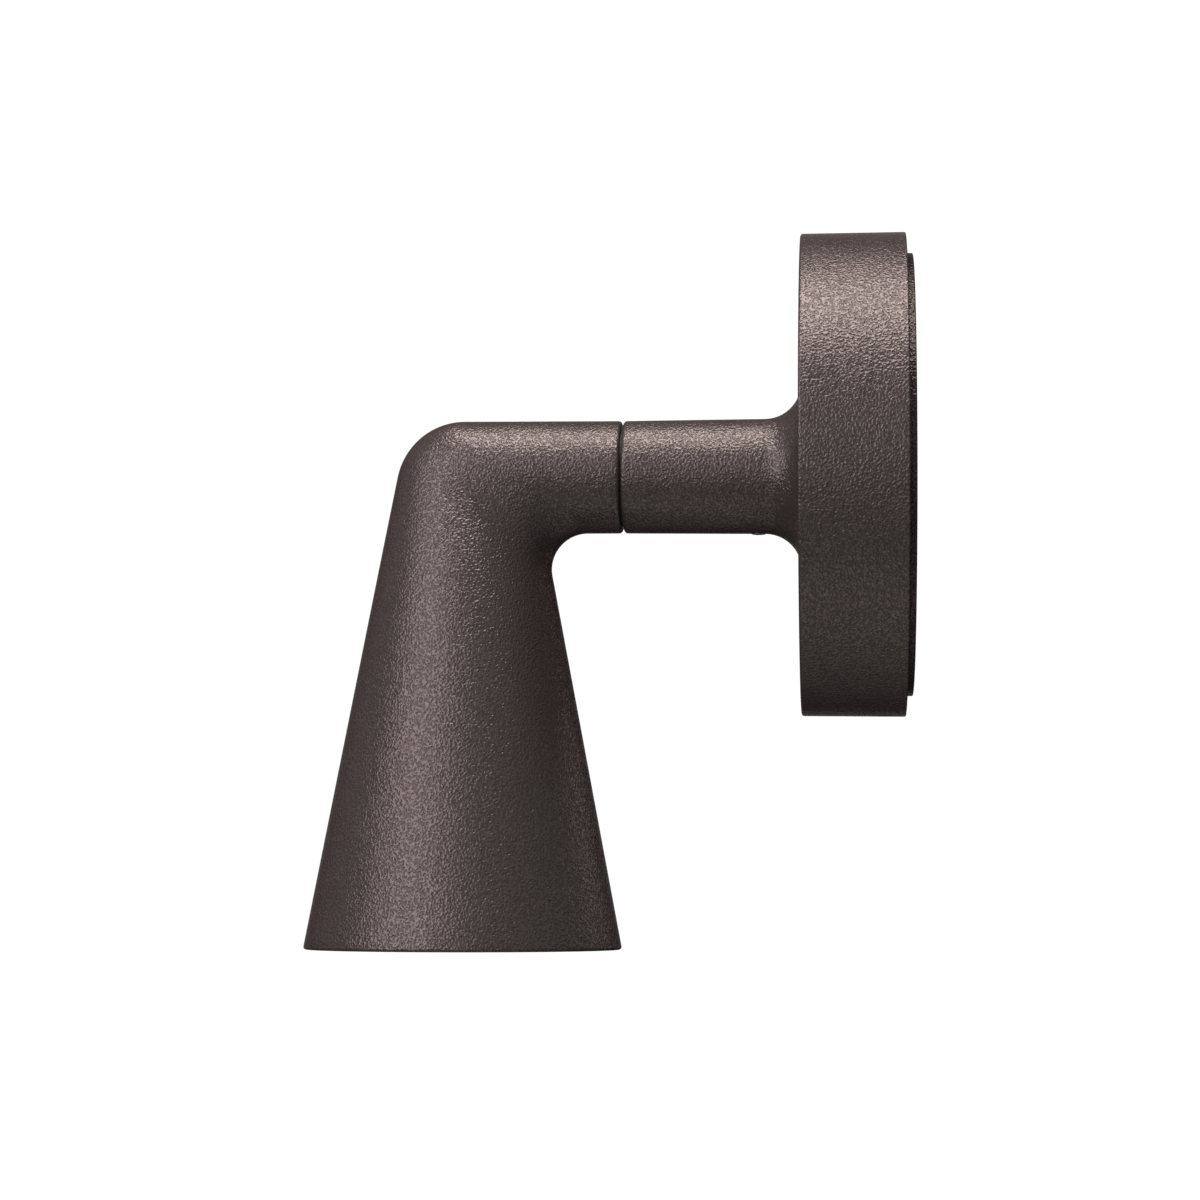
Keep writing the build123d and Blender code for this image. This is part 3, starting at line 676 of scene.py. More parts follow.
EARTH_WIRE = WireSleeve("wire_earth", (0.10, 0.30, 0.055), stripe=(0.70, 0.58, 0.05))


# Surfaces from grids of points
@dataclass
class Surface:
    """A surface on a grid of two parameters.

    Attributes:
        grid: Points as an array of rows, columns and three coordinates, in metres.
        loop_rows: The last row joins the first.
        loop_columns: The last column joins the first.
    """

    grid: np.ndarray
    loop_rows: bool = False
    loop_columns: bool = True

    def faces(self) -> np.ndarray:
        """Quads between neighbouring grid points, as whole index arrays.

        Returns:
            One row of four point numbers for each quad.
        """
        rows, columns = self.grid.shape[:2]
        number = np.arange(rows * columns).reshape(rows, columns)
        next_row = np.roll(number, -1, axis=0)
        corners = [number, next_row, np.roll(next_row, -1, axis=1), np.roll(number, -1, axis=1)]
        last_row = rows if self.loop_rows else rows - 1
        last_column = columns if self.loop_columns else columns - 1
        return np.stack([c[:last_row, :last_column].ravel() for c in corners], axis=1)

    def piece(self, name: str, material: bpy.types.Material) -> bpy.types.Object:
        """Puts the surface into a smooth mesh, with each pole as one point.

        Args:
            name: The piece's name.
            material: What it wears.

        Returns:
            The piece, at the origin.
        """
        mesh = bpy.data.meshes.new(name)
        mesh.from_pydata(self.grid.reshape(-1, 3), [], self.faces())
        shape = bmesh.new()
        shape.from_mesh(mesh)
        bmesh.ops.remove_doubles(shape, verts=shape.verts, dist=POLE_SIZE)
        shape.to_mesh(mesh)
        shape.free()
        mesh.polygons.foreach_set("use_smooth", np.ones(len(mesh.polygons), dtype=bool))
        mesh.materials.append(material)
        made = bpy.data.objects.new(name, mesh)
        bpy.context.scene.collection.objects.link(made)
        return made


def full_turn(steps: int) -> np.ndarray:
    """Angles of a full turn in even steps, without its end."""
    return np.linspace(0.0, 2.0 * np.pi, steps, endpoint=False)


def arc(centre: Pair, radius: float, start: float, end: float, steps: int) -> np.ndarray:
    """Points on an arc: the centre plus the radius times the angle's sine and cosine.

    Args:
        centre: The arc's centre.
        radius: Its radius.
        start: Angle of its first point, from the second direction towards the first.
        end: Angle of its last point.
        steps: Steps between the two.

    Returns:
        The points, one row each.
    """
    angle = np.linspace(start, end, steps + 1)
    return np.array(centre) + radius * np.stack([np.sin(angle), np.cos(angle)], axis=1)


def bevelled(profile: np.ndarray, bevel: float) -> np.ndarray:
    """Bevels the inner corners of a profile: points at one and three bevels from a corner on both its lines.

    Args:
        profile: Corner points, one row each.
        bevel: Length of the bevel's legs.

    Returns:
        The profile with four points for each inner corner.
    """
    corners = profile[1:-1]
    behind, ahead = profile[:-2] - corners, profile[2:] - corners
    behind = behind / np.linalg.norm(behind, axis=1, keepdims=True) * bevel
    ahead = ahead / np.linalg.norm(ahead, axis=1, keepdims=True) * bevel
    points = [corners + 3.0 * behind, corners + behind, corners + ahead, corners + 3.0 * ahead]
    return np.concatenate([profile[:1], np.stack(points, axis=1).reshape(-1, 2), profile[-1:]])


def towards(start: np.ndarray, end: Pair, share: np.ndarray) -> np.ndarray:
    """Points that lie each share of the way from the start points to the end."""
    return start + (np.array(end) - start) * share[:, None, None]


@dataclass
class Rings:
    """Elliptical rings along a path, each between a near end and a far end.

    The arrays run ring by turn. One entry along the turn stands for the whole ring.

    Attributes:
        near: Distance from the wall and height of each ring's near end.
        far: The same for its far end.
        half_width: Half of each ring's width along x.
    """

    near: np.ndarray
    far: np.ndarray
    half_width: np.ndarray

    @classmethod
    def about_stem(cls, profile: np.ndarray) -> "Rings":
        """Round rings about the stem's axis, from rows of radius and distance from the wall."""
        radius, out = profile.T[:, :, None]
        return cls(np.stack([out, -radius], axis=-1), np.stack([out, radius], axis=-1), radius)

    @classmethod
    def about_head(cls, profile: np.ndarray) -> "Rings":
        """Round rings about the head's axis.

        Args:
            profile: Rows of radius and drop below the stem's axis.

        Returns:
            The rings.
        """
        radius, drop = profile.T[:, :, None]
        near, far = HEAD_REACH - radius, HEAD_REACH + radius
        return cls(np.stack([near, -drop], axis=-1), np.stack([far, -drop], axis=-1), radius)

    def middle(self) -> np.ndarray:
        """The middles between the near and the far ends."""
        return (self.near + self.far) / 2.0

    def grid(self, turn: np.ndarray, share: Lengths = 1.0) -> np.ndarray:
        """Points round each ring: half its length times cosine along it, half its width times sine along x.

        Args:
            turn: Angles round the ring.
            share: How much of the ring's size each point stands off its middle.

        Returns:
            The grid of points, ring by turn.
        """
        off = (self.far - self.near) / 2.0 * (share * np.cos(turn))[..., None]
        out, height = np.moveaxis(self.middle() + off, -1, 0)
        return np.stack([self.half_width * share * np.sin(turn), -out, height], axis=-1)


# Sub-assemblies
@dataclass
class SubAssembly(ABC):
    """A group of pieces that is built and dressed together.

    Attributes:
        body: The CAD body that the new pieces ride on.
    """

    body: str

    @abstractmethod
    def finishes(self) -> Mapping[str, Finish]:
        """The finish of each CAD node in the group."""

    def pieces(self) -> Sequence[bpy.types.Object]:
        """New pieces made for the group, already riding on their body."""
        return []

    def build(self) -> None:
        """Dresses the group's CAD nodes, makes its new pieces and reports each one."""
        for node, finish in self.finishes().items():
            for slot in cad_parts[node].material_slots:
                slot.material = finish.material()
            LOG.info("dressed %s in %s", node, finish.slot)
        for piece in self.pieces():
            LOG.info("made %s on %s", piece.name, self.body)

    def place(self, surface: Surface, name: str, finish: Finish) -> bpy.types.Object:
        """Makes one new piece and lets it ride.

        Args:
            surface: The piece's surface.
            name: Its name.
            finish: What it wears.

        Returns:
            The piece.
        """
        piece = surface.piece(name, finish.material())
        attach(piece, self.body)
        return piece


@dataclass
class WallPlate(SubAssembly):
    """The plate on the wall with its gasket, seal and mains inlet."""

    body: str = "base"

    def finishes(self) -> Mapping[str, Finish]:
        """The bronze coat darkened as painted shade on the plate, foam towards the wall, rubber elsewhere.
        """
        return {"wall_plate": SHADED_BRONZE, "wall_gasket": FOAM, "cable_grommet": RUBBER, "housing_seal": RUBBER}


@dataclass
class Wiring(SubAssembly):
    """Terminal block, driver, earth connection and the leads."""

    body: str = "base"

    def finishes(self) -> Mapping[str, Finish]:
        """Moulded cases, brass contacts, plated screws and coloured wires.

        Returns:
            The finish of each node.
        """
        return {
            "terminal_block": CREAM_BLOCK,
            "terminal_clamps": BRASS,
            "terminal_screws": ZINC,
            "terminal_block_screws": ZINC,
            "driver": WHITE_CASE,
            "driver_screws": ZINC,
            "earth_terminal": BRASS,
            "earth_washer": ZINC,
            "earth_screw": BRASS,
            "base_lead": LEAD_SLEEVE,
            "head_lead": LEAD_SLEEVE,
            "live_lead": BROWN_WIRE,
            "neutral_lead": BLUE_WIRE,
            "earth_lead": EARTH_WIRE,
        }


@dataclass
class BaseHousing(SubAssembly):
    """The round base with its stem, and the two grub screws in it."""

    body: str = "base"

    def finishes(self) -> Mapping[str, Finish]:
        """Bronze coat on the casting, blackened screws."""
        return {"base_housing": BRONZE, "housing_lock_screw": BLACK_STEEL, "lock_screw": BLACK_STEEL}


@dataclass
class Swivel(SubAssembly):
    """The shaft that joins head and stem, with its stops, washers and seals."""

    body: str = "head"

    def finishes(self) -> Mapping[str, Finish]:
        """Brass shaft and nut, plated washers, dark plastic bearings, rubber rings.

        Returns:
            The finish of each node.
        """
        return {
            "swivel_shaft": BRASS,
            "swivel_nut": BRASS,
            "stop_washer": ZINC,
            "spring_washer": ZINC,
            "stop_pin": ZINC,
            "friction_washer": DARK_PLASTIC,
            "cable_bush": DARK_PLASTIC,
            "shaft_o_rings": RUBBER,
        }


@dataclass
class Head(SubAssembly):
    """The cone-shaped head with its glass and the ring that holds it.

    Lengths are in metres. A drop is a distance below the stem's axis.

    Attributes:
        tube_radius: Outer radius of the swivel tube.
        tube_start: The tube's face, from the wall.
        tube_edge: Rounding of that face's edge.
        bore: Radius of the shaft's bore.
        bore_end: The bore's floor, from the wall.
        passage: Radius of the lead's passage beyond the bore.
        outer_corner: Radius of the elbow's outer corner.
        outer_drop: Drop of that corner's centre.
        inner_corner: Radius of the elbow's inner corner.
        outer_side: Size of the outer corner at the elbow's sides, as a share of that on its outer line.
        inner_side: Size of the inner corner at the elbow's sides, as a share of that on its inner line.
        flush_share: Share of the elbow over which it stays as wide as the tube.
        ramp_share: Share of the widening over which it sets in.
        round_drop: Drop at which the widening head is round again.
        slope: The cone's angle from upright, in radians.
        mouth_drop: Drop of the mouth.
        wall: The casting's wall.
        lip_wall: Width of the lip.
        lip_edge: Rounding of the lip's outer edge.
        seat_radius: Radius of the glass's seat.
        seat_drop: Drop of the seat's shoulder.
        seat_face: Drop of the seat's end towards the mouth.
        corner_bevel: Bevel of the corners at bore, mouth and seat.
        boss_count: Screw bosses round the inside.
        boss_place: Radius on which the bosses stand.
        boss_radius: A boss's own radius.
        boss_drop: Drop of the bosses' lower end.
        boss_top: Drop of their upper end.
        boss_step: Height of the step from the cone's inside to a boss.
        dome_drop: Where the inside leaves the cone for the passage.
        bend_near: How far beyond the bore's floor the corner of the bend's near side lies.
        bend_far: How far beyond the head's axis the corner of its far side lies.
        bend_rise: How far that corner lies above the passage.
        bend_swell: How far the bend's corners reach sideways beyond the passage.
        edge_steps: Rings round the tube's edge.
        tube_steps: Steps along the tube.
        elbow_steps: Steps round the elbow.
        cone_steps: Steps down the cone.
        lip_steps: Rings round the lip's edge.
        boss_rings: Rings along the bosses.
        bend_steps: Steps round the passage's bend.
        ease_steps: Steps in which the widening is added up.
        steps: Points round the casting.
    """

    body: str = "head"
    tube_radius: float = 0.01257
    tube_start: float = 0.06473
    tube_edge: float = 0.0008
    bore: float = 0.00805
    bore_end: float = 0.07873
    passage: float = 0.0065
    outer_corner: float = 0.01566
    outer_drop: float = 0.00299
    inner_corner: float = 0.0080
    outer_side: float = 0.15
    inner_side: float = 1.60
    flush_share: float = 0.15
    ramp_share: float = 0.35
    round_drop: float = 0.050
    slope: float = math.radians(10.75)
    mouth_drop: float = 0.1055
    wall: float = 0.0036
    lip_wall: float = 0.0028
    lip_edge: float = 0.0006
    seat_radius: float = 0.03040
    seat_drop: float = 0.0890
    seat_face: float = 0.0995
    corner_bevel: float = 0.00006
    boss_count: int = 3
    boss_place: float = 0.0170
    boss_radius: float = 0.0038
    boss_drop: float = 0.0470
    boss_top: float = 0.0260
    boss_step: float = 0.0001
    dome_drop: float = 0.0240
    bend_near: float = 0.003
    bend_far: float = 0.012
    bend_rise: float = 0.002
    bend_swell: float = 0.003
    edge_steps: int = 8
    tube_steps: int = 16
    elbow_steps: int = 48
    cone_steps: int = 48
    lip_steps: int = 9
    boss_rings: int = 8
    bend_steps: int = 14
    ease_steps: int = 400
    steps: int = 192

    def finishes(self) -> Mapping[str, Finish]:
        """Bronze coat on the casting, black ring, clear glass on rubber."""
        return {"head_casting": BRONZE, "bezel_ring": BLACK, "front_glass": GLASS, "glass_gasket": RUBBER}

    def pieces(self) -> Sequence[bpy.types.Object]:
        """Makes the casting whose tube runs flush round the elbow into the cone.

        Returns:
            The casting.
        """
        shell = self.place(self.shell(), "head_shell", BRONZE)
        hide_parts("head_casting")
        return [shell]

    def turn(self) -> np.ndarray:
        """Angles round the casting, from the far side."""
        return full_turn(self.steps)

    def cone_radius(self, drop: Lengths) -> Lengths:
        """The cone's outer radius, which grows with the drop by the tangent of the slope."""
        return self.outer_corner / math.cos(self.slope) + (drop - self.outer_drop) * math.tan(self.slope)

    def inside(self, drop: Lengths) -> Lengths:
        """The cone's inner radius: the outer one less the wall over the cosine of the slope."""
        return self.cone_radius(drop) - self.wall / math.cos(self.slope)

    def tube_end(self) -> Rings:
        """The bore, the face at the swivel gap and its rounded edge, about the stem's axis.

        Returns:
            The rings.
        """
        flat = self.tube_radius - self.tube_edge
        corners = [
            (self.passage, self.bore_end),
            (self.bore, self.bore_end),
            (self.bore, self.tube_start),
            (flat, self.tube_start),
        ]
        centre = (flat, self.tube_start + self.tube_edge)
        edge = arc(centre, self.tube_edge, np.pi, np.pi / 2.0, self.edge_steps)[1:]
        return Rings.about_stem(np.concatenate([bevelled(np.array(corners), self.corner_bevel), edge]))

    def sized_round(self, line: np.ndarray, tip: Pair, side: float) -> np.ndarray:
        """A corner's arc at each angle of the turn, shrunk or grown about its sharp tip.

        The size is cosine squared of the turn plus the side's size times sine squared.

        Args:
            line: The arc's points.
            tip: Where its two straight lines meet.
            side: Size of the arc at the elbow's sides.

        Returns:
            Points, ring by turn.
        """
        size = 1.0 + (side - 1.0) * np.sin(self.turn())[:, None] ** 2
        return np.array(tip) + (line - np.array(tip))[:, None] * size

    def elbow_ends(self) -> tuple[np.ndarray, np.ndarray]:
        """Ends of the elbow's rings: the near ones on the inner corner's arc, the far ones on the outer's.

        Returns:
            Near ends and far ends, ring by turn.
        """
        quarter = math.pi / 2.0
        drop, top = self.tube_radius + self.inner_corner, self.outer_corner - self.outer_drop
        middle = HEAD_REACH - self.cone_radius(drop) - self.inner_corner / math.cos(self.slope)
        near = arc((middle, -drop), self.inner_corner, 0.0, quarter + self.slope, self.elbow_steps)
        far_centre = (HEAD_REACH, -self.outer_drop)
        far = arc(far_centre, self.outer_corner, 0.0, quarter - self.slope, self.elbow_steps)
        near_tip = (HEAD_REACH - self.cone_radius(self.tube_radius), -self.tube_radius)
        far_tip = (HEAD_REACH + self.cone_radius(-top), top)
        near = self.sized_round(near, near_tip, self.inner_side)
        far = self.sized_round(far, far_tip, self.outer_side)
        return near, far

    def as_wide_as_cone(self, near: np.ndarray, far: np.ndarray) -> Rings:
        """Rings as wide as the cone where their middles are.

        Half of that width is the root of the cone's radius squared less the middle's offset squared.

        Args:
            near: The rings' near ends.
            far: Their far ends.

        Returns:
            The rings.
        """
        out, height = np.moveaxis((near + far) / 2.0, -1, 0)
        squared = self.cone_radius(-height) ** 2 - (out - HEAD_REACH) ** 2
        return Rings(near, far, np.sqrt(np.maximum(squared, 0.0)))

    def widened(self, rings: Rings, start: int) -> Rings:
        """Eases the half width from the tube's to the cone's along the paths of the rings' middles.

        With u from 0 to 1 over the easing's length, the half width grows at the cone's own rate times a
        ramp, and by as much more as is needed at a rate that falls as the ramp times (1 - u) squared. The
        ramp rises from 0 to 1 as 3 r squared - 2 r cubed while r, u over the ramp's share, goes from 0 to 1.

        Args:
            rings: Rings round the elbow and down the cone, as wide as the cone.
            start: Number of the ring at which the easing begins.

        Returns:
            The same rings with eased half widths.
        """
        middle = rings.middle()
        hops = np.linalg.norm(np.diff(middle, axis=0), axis=-1)
        path = np.concatenate([np.zeros((1, self.steps)), np.cumsum(hops, axis=0)])
        end = np.argmax(middle[..., 1] < -self.round_drop, axis=0)[None]
        length = np.take_along_axis(path, end, axis=0) - path[start]
        growth = np.take_along_axis(rings.half_width, end, axis=0) - self.tube_radius
        u = np.linspace(0.0, 1.0, self.ease_steps + 1)
        r = np.minimum(u / self.ramp_share, 1.0)
        ramp = 3.0 * r**2 - 2.0 * r**3
        falling = ramp * (1.0 - u) ** 2
        own_growth = math.tan(self.slope) * length * np.mean(ramp)
        place = np.clip((path - path[start]) / length, 0.0, 1.0)
        own = own_growth * np.interp(place, u, np.cumsum(ramp) / np.sum(ramp))
        more = (growth - own_growth) * np.interp(place, u, np.cumsum(falling) / np.sum(falling))
        order = np.arange(len(path))[:, None]
        half_width = np.where(order < end, self.tube_radius + own + more, rings.half_width)
        return Rings(rings.near, rings.far, half_width)

    def skin(self) -> list[Rings]:
        """The outside: along the tube, then round the elbow and down the cone.

        Rings on the tube and on the lower cone are plane cuts of them.

        Returns:
            The two runs of rings.
        """
        near, far = self.elbow_ends()
        tube = self.tube_start + self.tube_edge
        back = np.linspace(1.0, 0.0, self.tube_steps + 1)[1:-1] ** 2
        tube_run = Rings(
            towards(near[0], (tube, -self.tube_radius), back),
            towards(far[0], (tube, self.tube_radius), back),
            np.full((len(back), 1), self.tube_radius),
        )
        drop = self.mouth_drop - self.lip_edge * (1.0 + math.sin(self.slope))
        radius = self.cone_radius(drop)
        ahead = np.linspace(0.0, 1.0, self.cone_steps + 1)[1:] ** 2
        near = np.concatenate([near, towards(near[-1], (HEAD_REACH - radius, -drop), ahead)])
        far = np.concatenate([far, towards(far[-1], (HEAD_REACH + radius, -drop), ahead)])
        flush = int(self.flush_share * (self.elbow_steps + 1))
        return [tube_run, self.widened(self.as_wide_as_cone(near, far), flush)]

    def mouth(self) -> Rings:
        """The rounded lip, the flare inside it, the glass's seat and the cone's inside up to the bosses.

        Returns:
            The rings.
        """
        drop = self.mouth_drop - self.lip_edge
        centre = self.cone_radius(drop) - self.lip_edge / math.cos(self.slope)
        edge = arc((centre, drop), self.lip_edge, np.pi / 2.0 + self.slope, 0.0, self.lip_steps)[1:]
        corners = [
            (centre, self.mouth_drop),
            (self.cone_radius(self.mouth_drop) - self.lip_wall, self.mouth_drop),
            (self.seat_radius, self.seat_face),
            (self.seat_radius, self.seat_drop),
            (self.inside(self.seat_drop), self.seat_drop),
            (self.inside(self.boss_drop), self.boss_drop),
        ]
        return Rings.about_head(np.concatenate([edge, bevelled(np.array(corners), self.corner_bevel)[1:]]))

    def bosses(self) -> np.ndarray:
        """The cone's inside with the screw bosses: near a boss the radius is that of the boss's own circle.

        For a turn of psi from the boss, that is place times cos psi less the root of
        (boss radius squared less place squared times sin psi squared).

        Returns:
            The grid of points.
        """
        drop = np.linspace(self.boss_drop - self.boss_step, self.boss_top, self.boss_rings)
        radius = self.inside(drop)
        spacing = 2.0 * np.pi / self.boss_count
        psi = (self.turn() + spacing / 2.0) % spacing - spacing / 2.0
        squared = self.boss_radius**2 - (self.boss_place * np.sin(psi)) ** 2
        circle = self.boss_place * np.cos(psi) - np.sqrt(np.maximum(squared, 0.0))
        share = np.minimum(np.where(squared > 0.0, circle, np.inf) / radius[:, None], 1.0)
        return Rings.about_head(np.stack([radius, drop], axis=1)).grid(self.turn(), share)

    def passage_bend(self) -> Rings:
        """From the cone's inside round to the bore: both ends of a ring run on curves of second degree.

        A point is (1 - t) squared times the start, 2 t (1 - t) times the corner and t squared times the end.

        Returns:
            The rings.
        """
        radius = self.inside(self.dome_drop)
        near = np.array([
            (HEAD_REACH - radius, -self.dome_drop),
            (self.bore_end + self.bend_near, -self.passage),
            (self.bore_end, -self.passage),
        ])
        far = np.array([
            (HEAD_REACH + radius, -self.dome_drop),
            (HEAD_REACH + self.bend_far, self.passage + self.bend_rise),
            (self.bore_end, self.passage),
        ])
        half_width = np.array([radius, self.passage + self.bend_swell, self.passage])
        t = np.linspace(0.0, 1.0, self.bend_steps + 1)[:-1, None]
        weights = np.concatenate([(1.0 - t) ** 2, 2.0 * t * (1.0 - t), t**2], axis=1)
        return Rings(*((weights @ points)[:, None] for points in (near, far, half_width)))

    def shell(self) -> Surface:
        """The hollow casting as one closed tube of rings, outside to the mouth and inside back to the bore.

        Returns:
            The closed surface.
        """
        outside = [run.grid(self.turn()) for run in (self.tube_end(), *self.skin(), self.mouth())]
        back = [self.bosses(), self.passage_bend().grid(self.turn())]
        return Surface(np.concatenate(outside + back), loop_rows=True)


@dataclass
class LightEngine(SubAssembly):
    """Heat spreader, board, holder and reflector inside the head.

    Lengths are in metres. A drop is a distance below the stem's axis.

    Attributes:
        throat: Reflector's inner radius at the holder.
        rim: Its inner radius at the flange.
        flange: The flange's outer radius.
        wall: The reflector's wall.
        flange_wall: The flange's thickness.
        bulge: How far the bowl bows outwards.
        top: Drop of the bowl's throat.
        bottom: Drop of the flange's lower face.
        facets_around: Facets in a turn.
        facets_along: Facets from throat to flange.
        facet_crown: How far a facet's middle stands out.
        facet_steps: Steps across a facet.
        gel_radius: Outer radius of the ring that holds the light-giving gel.
        dam: Width of that ring.
        gel_back: Drop of the board's face under the gel.
        gel_depth: Height of the ring.
        clear_share: Share of the ring's width that the gel leaves free.
        fill: Height of the gel's middle, as a share of the ring's.
        climb: How much higher the gel stands at the ring, as the same share.
        gel_rings: Rings across the gel.
        dam_steps: Steps over the ring's profile.
        gel_steps: Points round the gel and its ring.
    """

    body: str = "head"
    throat: float = 0.0075
    rim: float = 0.0255
    flange: float = 0.0301
    wall: float = 0.0012
    flange_wall: float = 0.0010
    bulge: float = 0.0030
    top: float = 0.0560
    bottom: float = 0.0900
    facets_around: int = 24
    facets_along: int = 7
    facet_crown: float = 0.00022
    facet_steps: int = 8
    gel_radius: float = 0.0046
    dam: float = 0.0007
    gel_back: float = 0.0533
    gel_depth: float = 0.0007
    clear_share: float = 0.8
    fill: float = 0.62
    climb: float = 0.22
    gel_rings: int = 25
    dam_steps: int = 16
    gel_steps: int = 96

    def finishes(self) -> Mapping[str, Finish]:
        """Bare spreader, plated screws, white board and holder.

        Returns:
            The finish of each node.
        """
        return {
            "heat_spreader": ALUMINIUM,
            "spreader_screws": ZINC,
            "thermal_pad": THERMAL_PAD,
            "led_board": WHITE_BOARD,
            "led_emitter": PHOSPHOR,
            "led_holder": WHITE_HOLDER,
            "led_holder_screws": ZINC,
            "reflector": BOWL,
        }

    def pieces(self) -> Sequence[bpy.types.Object]:
        """Makes the faceted bowl for the plain reflector, and the gel with its ring for the plain emitter.

        Returns:
            The three pieces.
        """
        bowl = self.place(self.bowl(), "reflector_bowl", BOWL)
        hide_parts("reflector")
        gel = self.place(self.gel(), "phosphor_gel", PHOSPHOR)
        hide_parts("led_emitter")
        ring = self.place(self.gel_ring(), "gel_ring", WHITE_HOLDER)
        return [bowl, gel, ring]

    def bow(self, share: np.ndarray, start: Pair, end: Pair) -> np.ndarray:
        """The straight line from start to end, moved out square to itself.

        The move is the bulge times 1 - (2 share - 1) squared.

        Args:
            share: Places from 0 to 1 along the bow.
            start: Radius and drop at 0.
            end: Radius and drop at 1.

        Returns:
            Rows of radius and drop.
        """
        line = np.array(end) - np.array(start)
        square = np.array([line[1], -line[0]]) / np.linalg.norm(line)
        out = self.bulge * (1.0 - (2.0 * share - 1.0) ** 2)
        return np.array(start) + np.outer(share, line) + np.outer(out, square)

    def bowl(self) -> Surface:
        """The reflector as one closed profile turned about the head's axis.

        The inner side is the bow with a pillow on each facet: towards the axis by the crown times
        (1 - a squared) times (1 - b squared), where a and b run from -1 to 1 across the facet. Flange and
        back are plain.

        Returns:
            The closed surface.
        """
        steps = self.facets_around * self.facet_steps
        share = np.linspace(0.0, 1.0, self.facets_along * self.facet_steps + 1)
        across = 2.0 * ((np.arange(steps) / self.facet_steps) % 1.0) - 1.0
        along = 2.0 * ((share * self.facets_along) % 1.0) - 1.0
        pillow = self.facet_crown * np.outer(1.0 - along**2, 1.0 - across**2)
        shoulder = self.bottom - self.flange_wall
        inner = self.bow(share, (self.throat, self.top), (self.rim, self.bottom))
        edge = np.array([(self.flange, self.bottom), (self.flange, shoulder)])
        back = self.bow(share, (self.throat + self.wall, self.top), (self.rim + self.wall, shoulder))
        profile = np.concatenate([inner, edge, back[::-1]])
        pressed = np.pad(pillow, ((0, len(profile) - len(inner)), (0, 0))) / profile[:, :1]
        grid = Rings.about_head(profile).grid(full_turn(steps), 1.0 - pressed)
        return Surface(grid[::-1], loop_rows=True)

    def gel(self) -> Surface:
        """The gel: a dish whose height grows with the square of the radius's share, closed at the board.

        Returns:
            The closed surface.
        """
        share = np.linspace(0.0, 1.0, self.gel_rings)
        rim = self.gel_radius - self.clear_share * self.dam
        face = self.gel_back + self.gel_depth * (self.fill + self.climb * share**2)
        back = [(rim, self.gel_back), (0.0, self.gel_back)]
        profile = np.concatenate([np.stack([share * rim, face], axis=1), back])
        return Surface(Rings.about_head(profile).grid(full_turn(self.gel_steps))[::-1])

    def gel_ring(self) -> Surface:
        """The ring that holds the gel: half an ellipse on the board, turned about the head's axis.

        Returns:
            The closed surface.
        """
        turn, half = np.linspace(0.0, np.pi, self.dam_steps + 1), 0.5 * self.dam
        radius = self.gel_radius - half + half * np.cos(turn)
        drop = self.gel_back + self.gel_depth * np.sin(turn)
        rings = Rings.about_head(np.stack([radius, drop], axis=1))
        return Surface(rings.grid(full_turn(self.gel_steps)), loop_rows=True)


# Studio
@dataclass(frozen=True)
class Lamp:
    """A soft box.

    Attributes:
        name: Its name.
        place: Its middle, in metres.
        aim: What it points at.
        size: Its width and height.
        radiance: How bright its face is, where 1 is a white wall.
        colour: Colour of its light.
    """

    name: str
    place: Point
    aim: Point
    size: Pair
    radiance: float
    colour: Colour = WHITE

    def build(self) -> None:
        """Makes the lamp. Its power is its radiance times pi times its area."""
        light = bpy.data.lights.new(self.name, "AREA")
        light.shape = "RECTANGLE"
        light.size, light.size_y = self.size
        light.color = self.colour
        light.energy = self.radiance * math.pi * self.size[0] * self.size[1]
        lamp = bpy.data.objects.new(self.name, light)
        lamp.location = self.place
        lamp.rotation_euler = (Vector(self.aim) - Vector(self.place)).to_track_quat("-Z", "Y").to_euler()
        lamp.visible_camera = False
        bpy.context.scene.collection.objects.link(lamp)


@dataclass(frozen=True)
class Viewpoint:
    """The camera.

    Attributes:
        place: Where it stands, in metres.
        aim: What lies on its optical axis.
        roll: Its turn about that axis, in radians.
        lens: Focal length in millimetres.
        film: Width of the frame behind the lens, in millimetres.
        shift: Sideways and upward shift, as shares of the frame.
        sight: Nearest and farthest distance that it sees, in metres.
    """

    place: Point = (0.67113, -0.01520, -0.09296)
    aim: Point = (0.0, -0.05329, -0.04814)
    roll: float = 0.00185
    lens: float = 90.72
    film: float = 36.0
    shift: Pair = (-0.0610, 0.0764)
    sight: Pair = (0.01, 100.0)

    def build(self) -> None:
        """Makes the scene's camera."""
        data = bpy.data.cameras.new("viewpoint")
        data.sensor_width = self.film
        data.lens = self.lens
        data.shift_x, data.shift_y = self.shift
        data.clip_start, data.clip_end = self.sight
        camera = bpy.data.objects.new("viewpoint", data)
        ahead = Vector(self.aim) - Vector(self.place)
        turn = ahead.to_track_quat("-Z", "Y").to_matrix() @ Matrix.Rotation(self.roll, 3, "Z")
        camera.matrix_world = Matrix.Translation(self.place) @ turn.to_4x4()
        bpy.context.scene.collection.objects.link(camera)
        bpy.context.scene.camera = camera


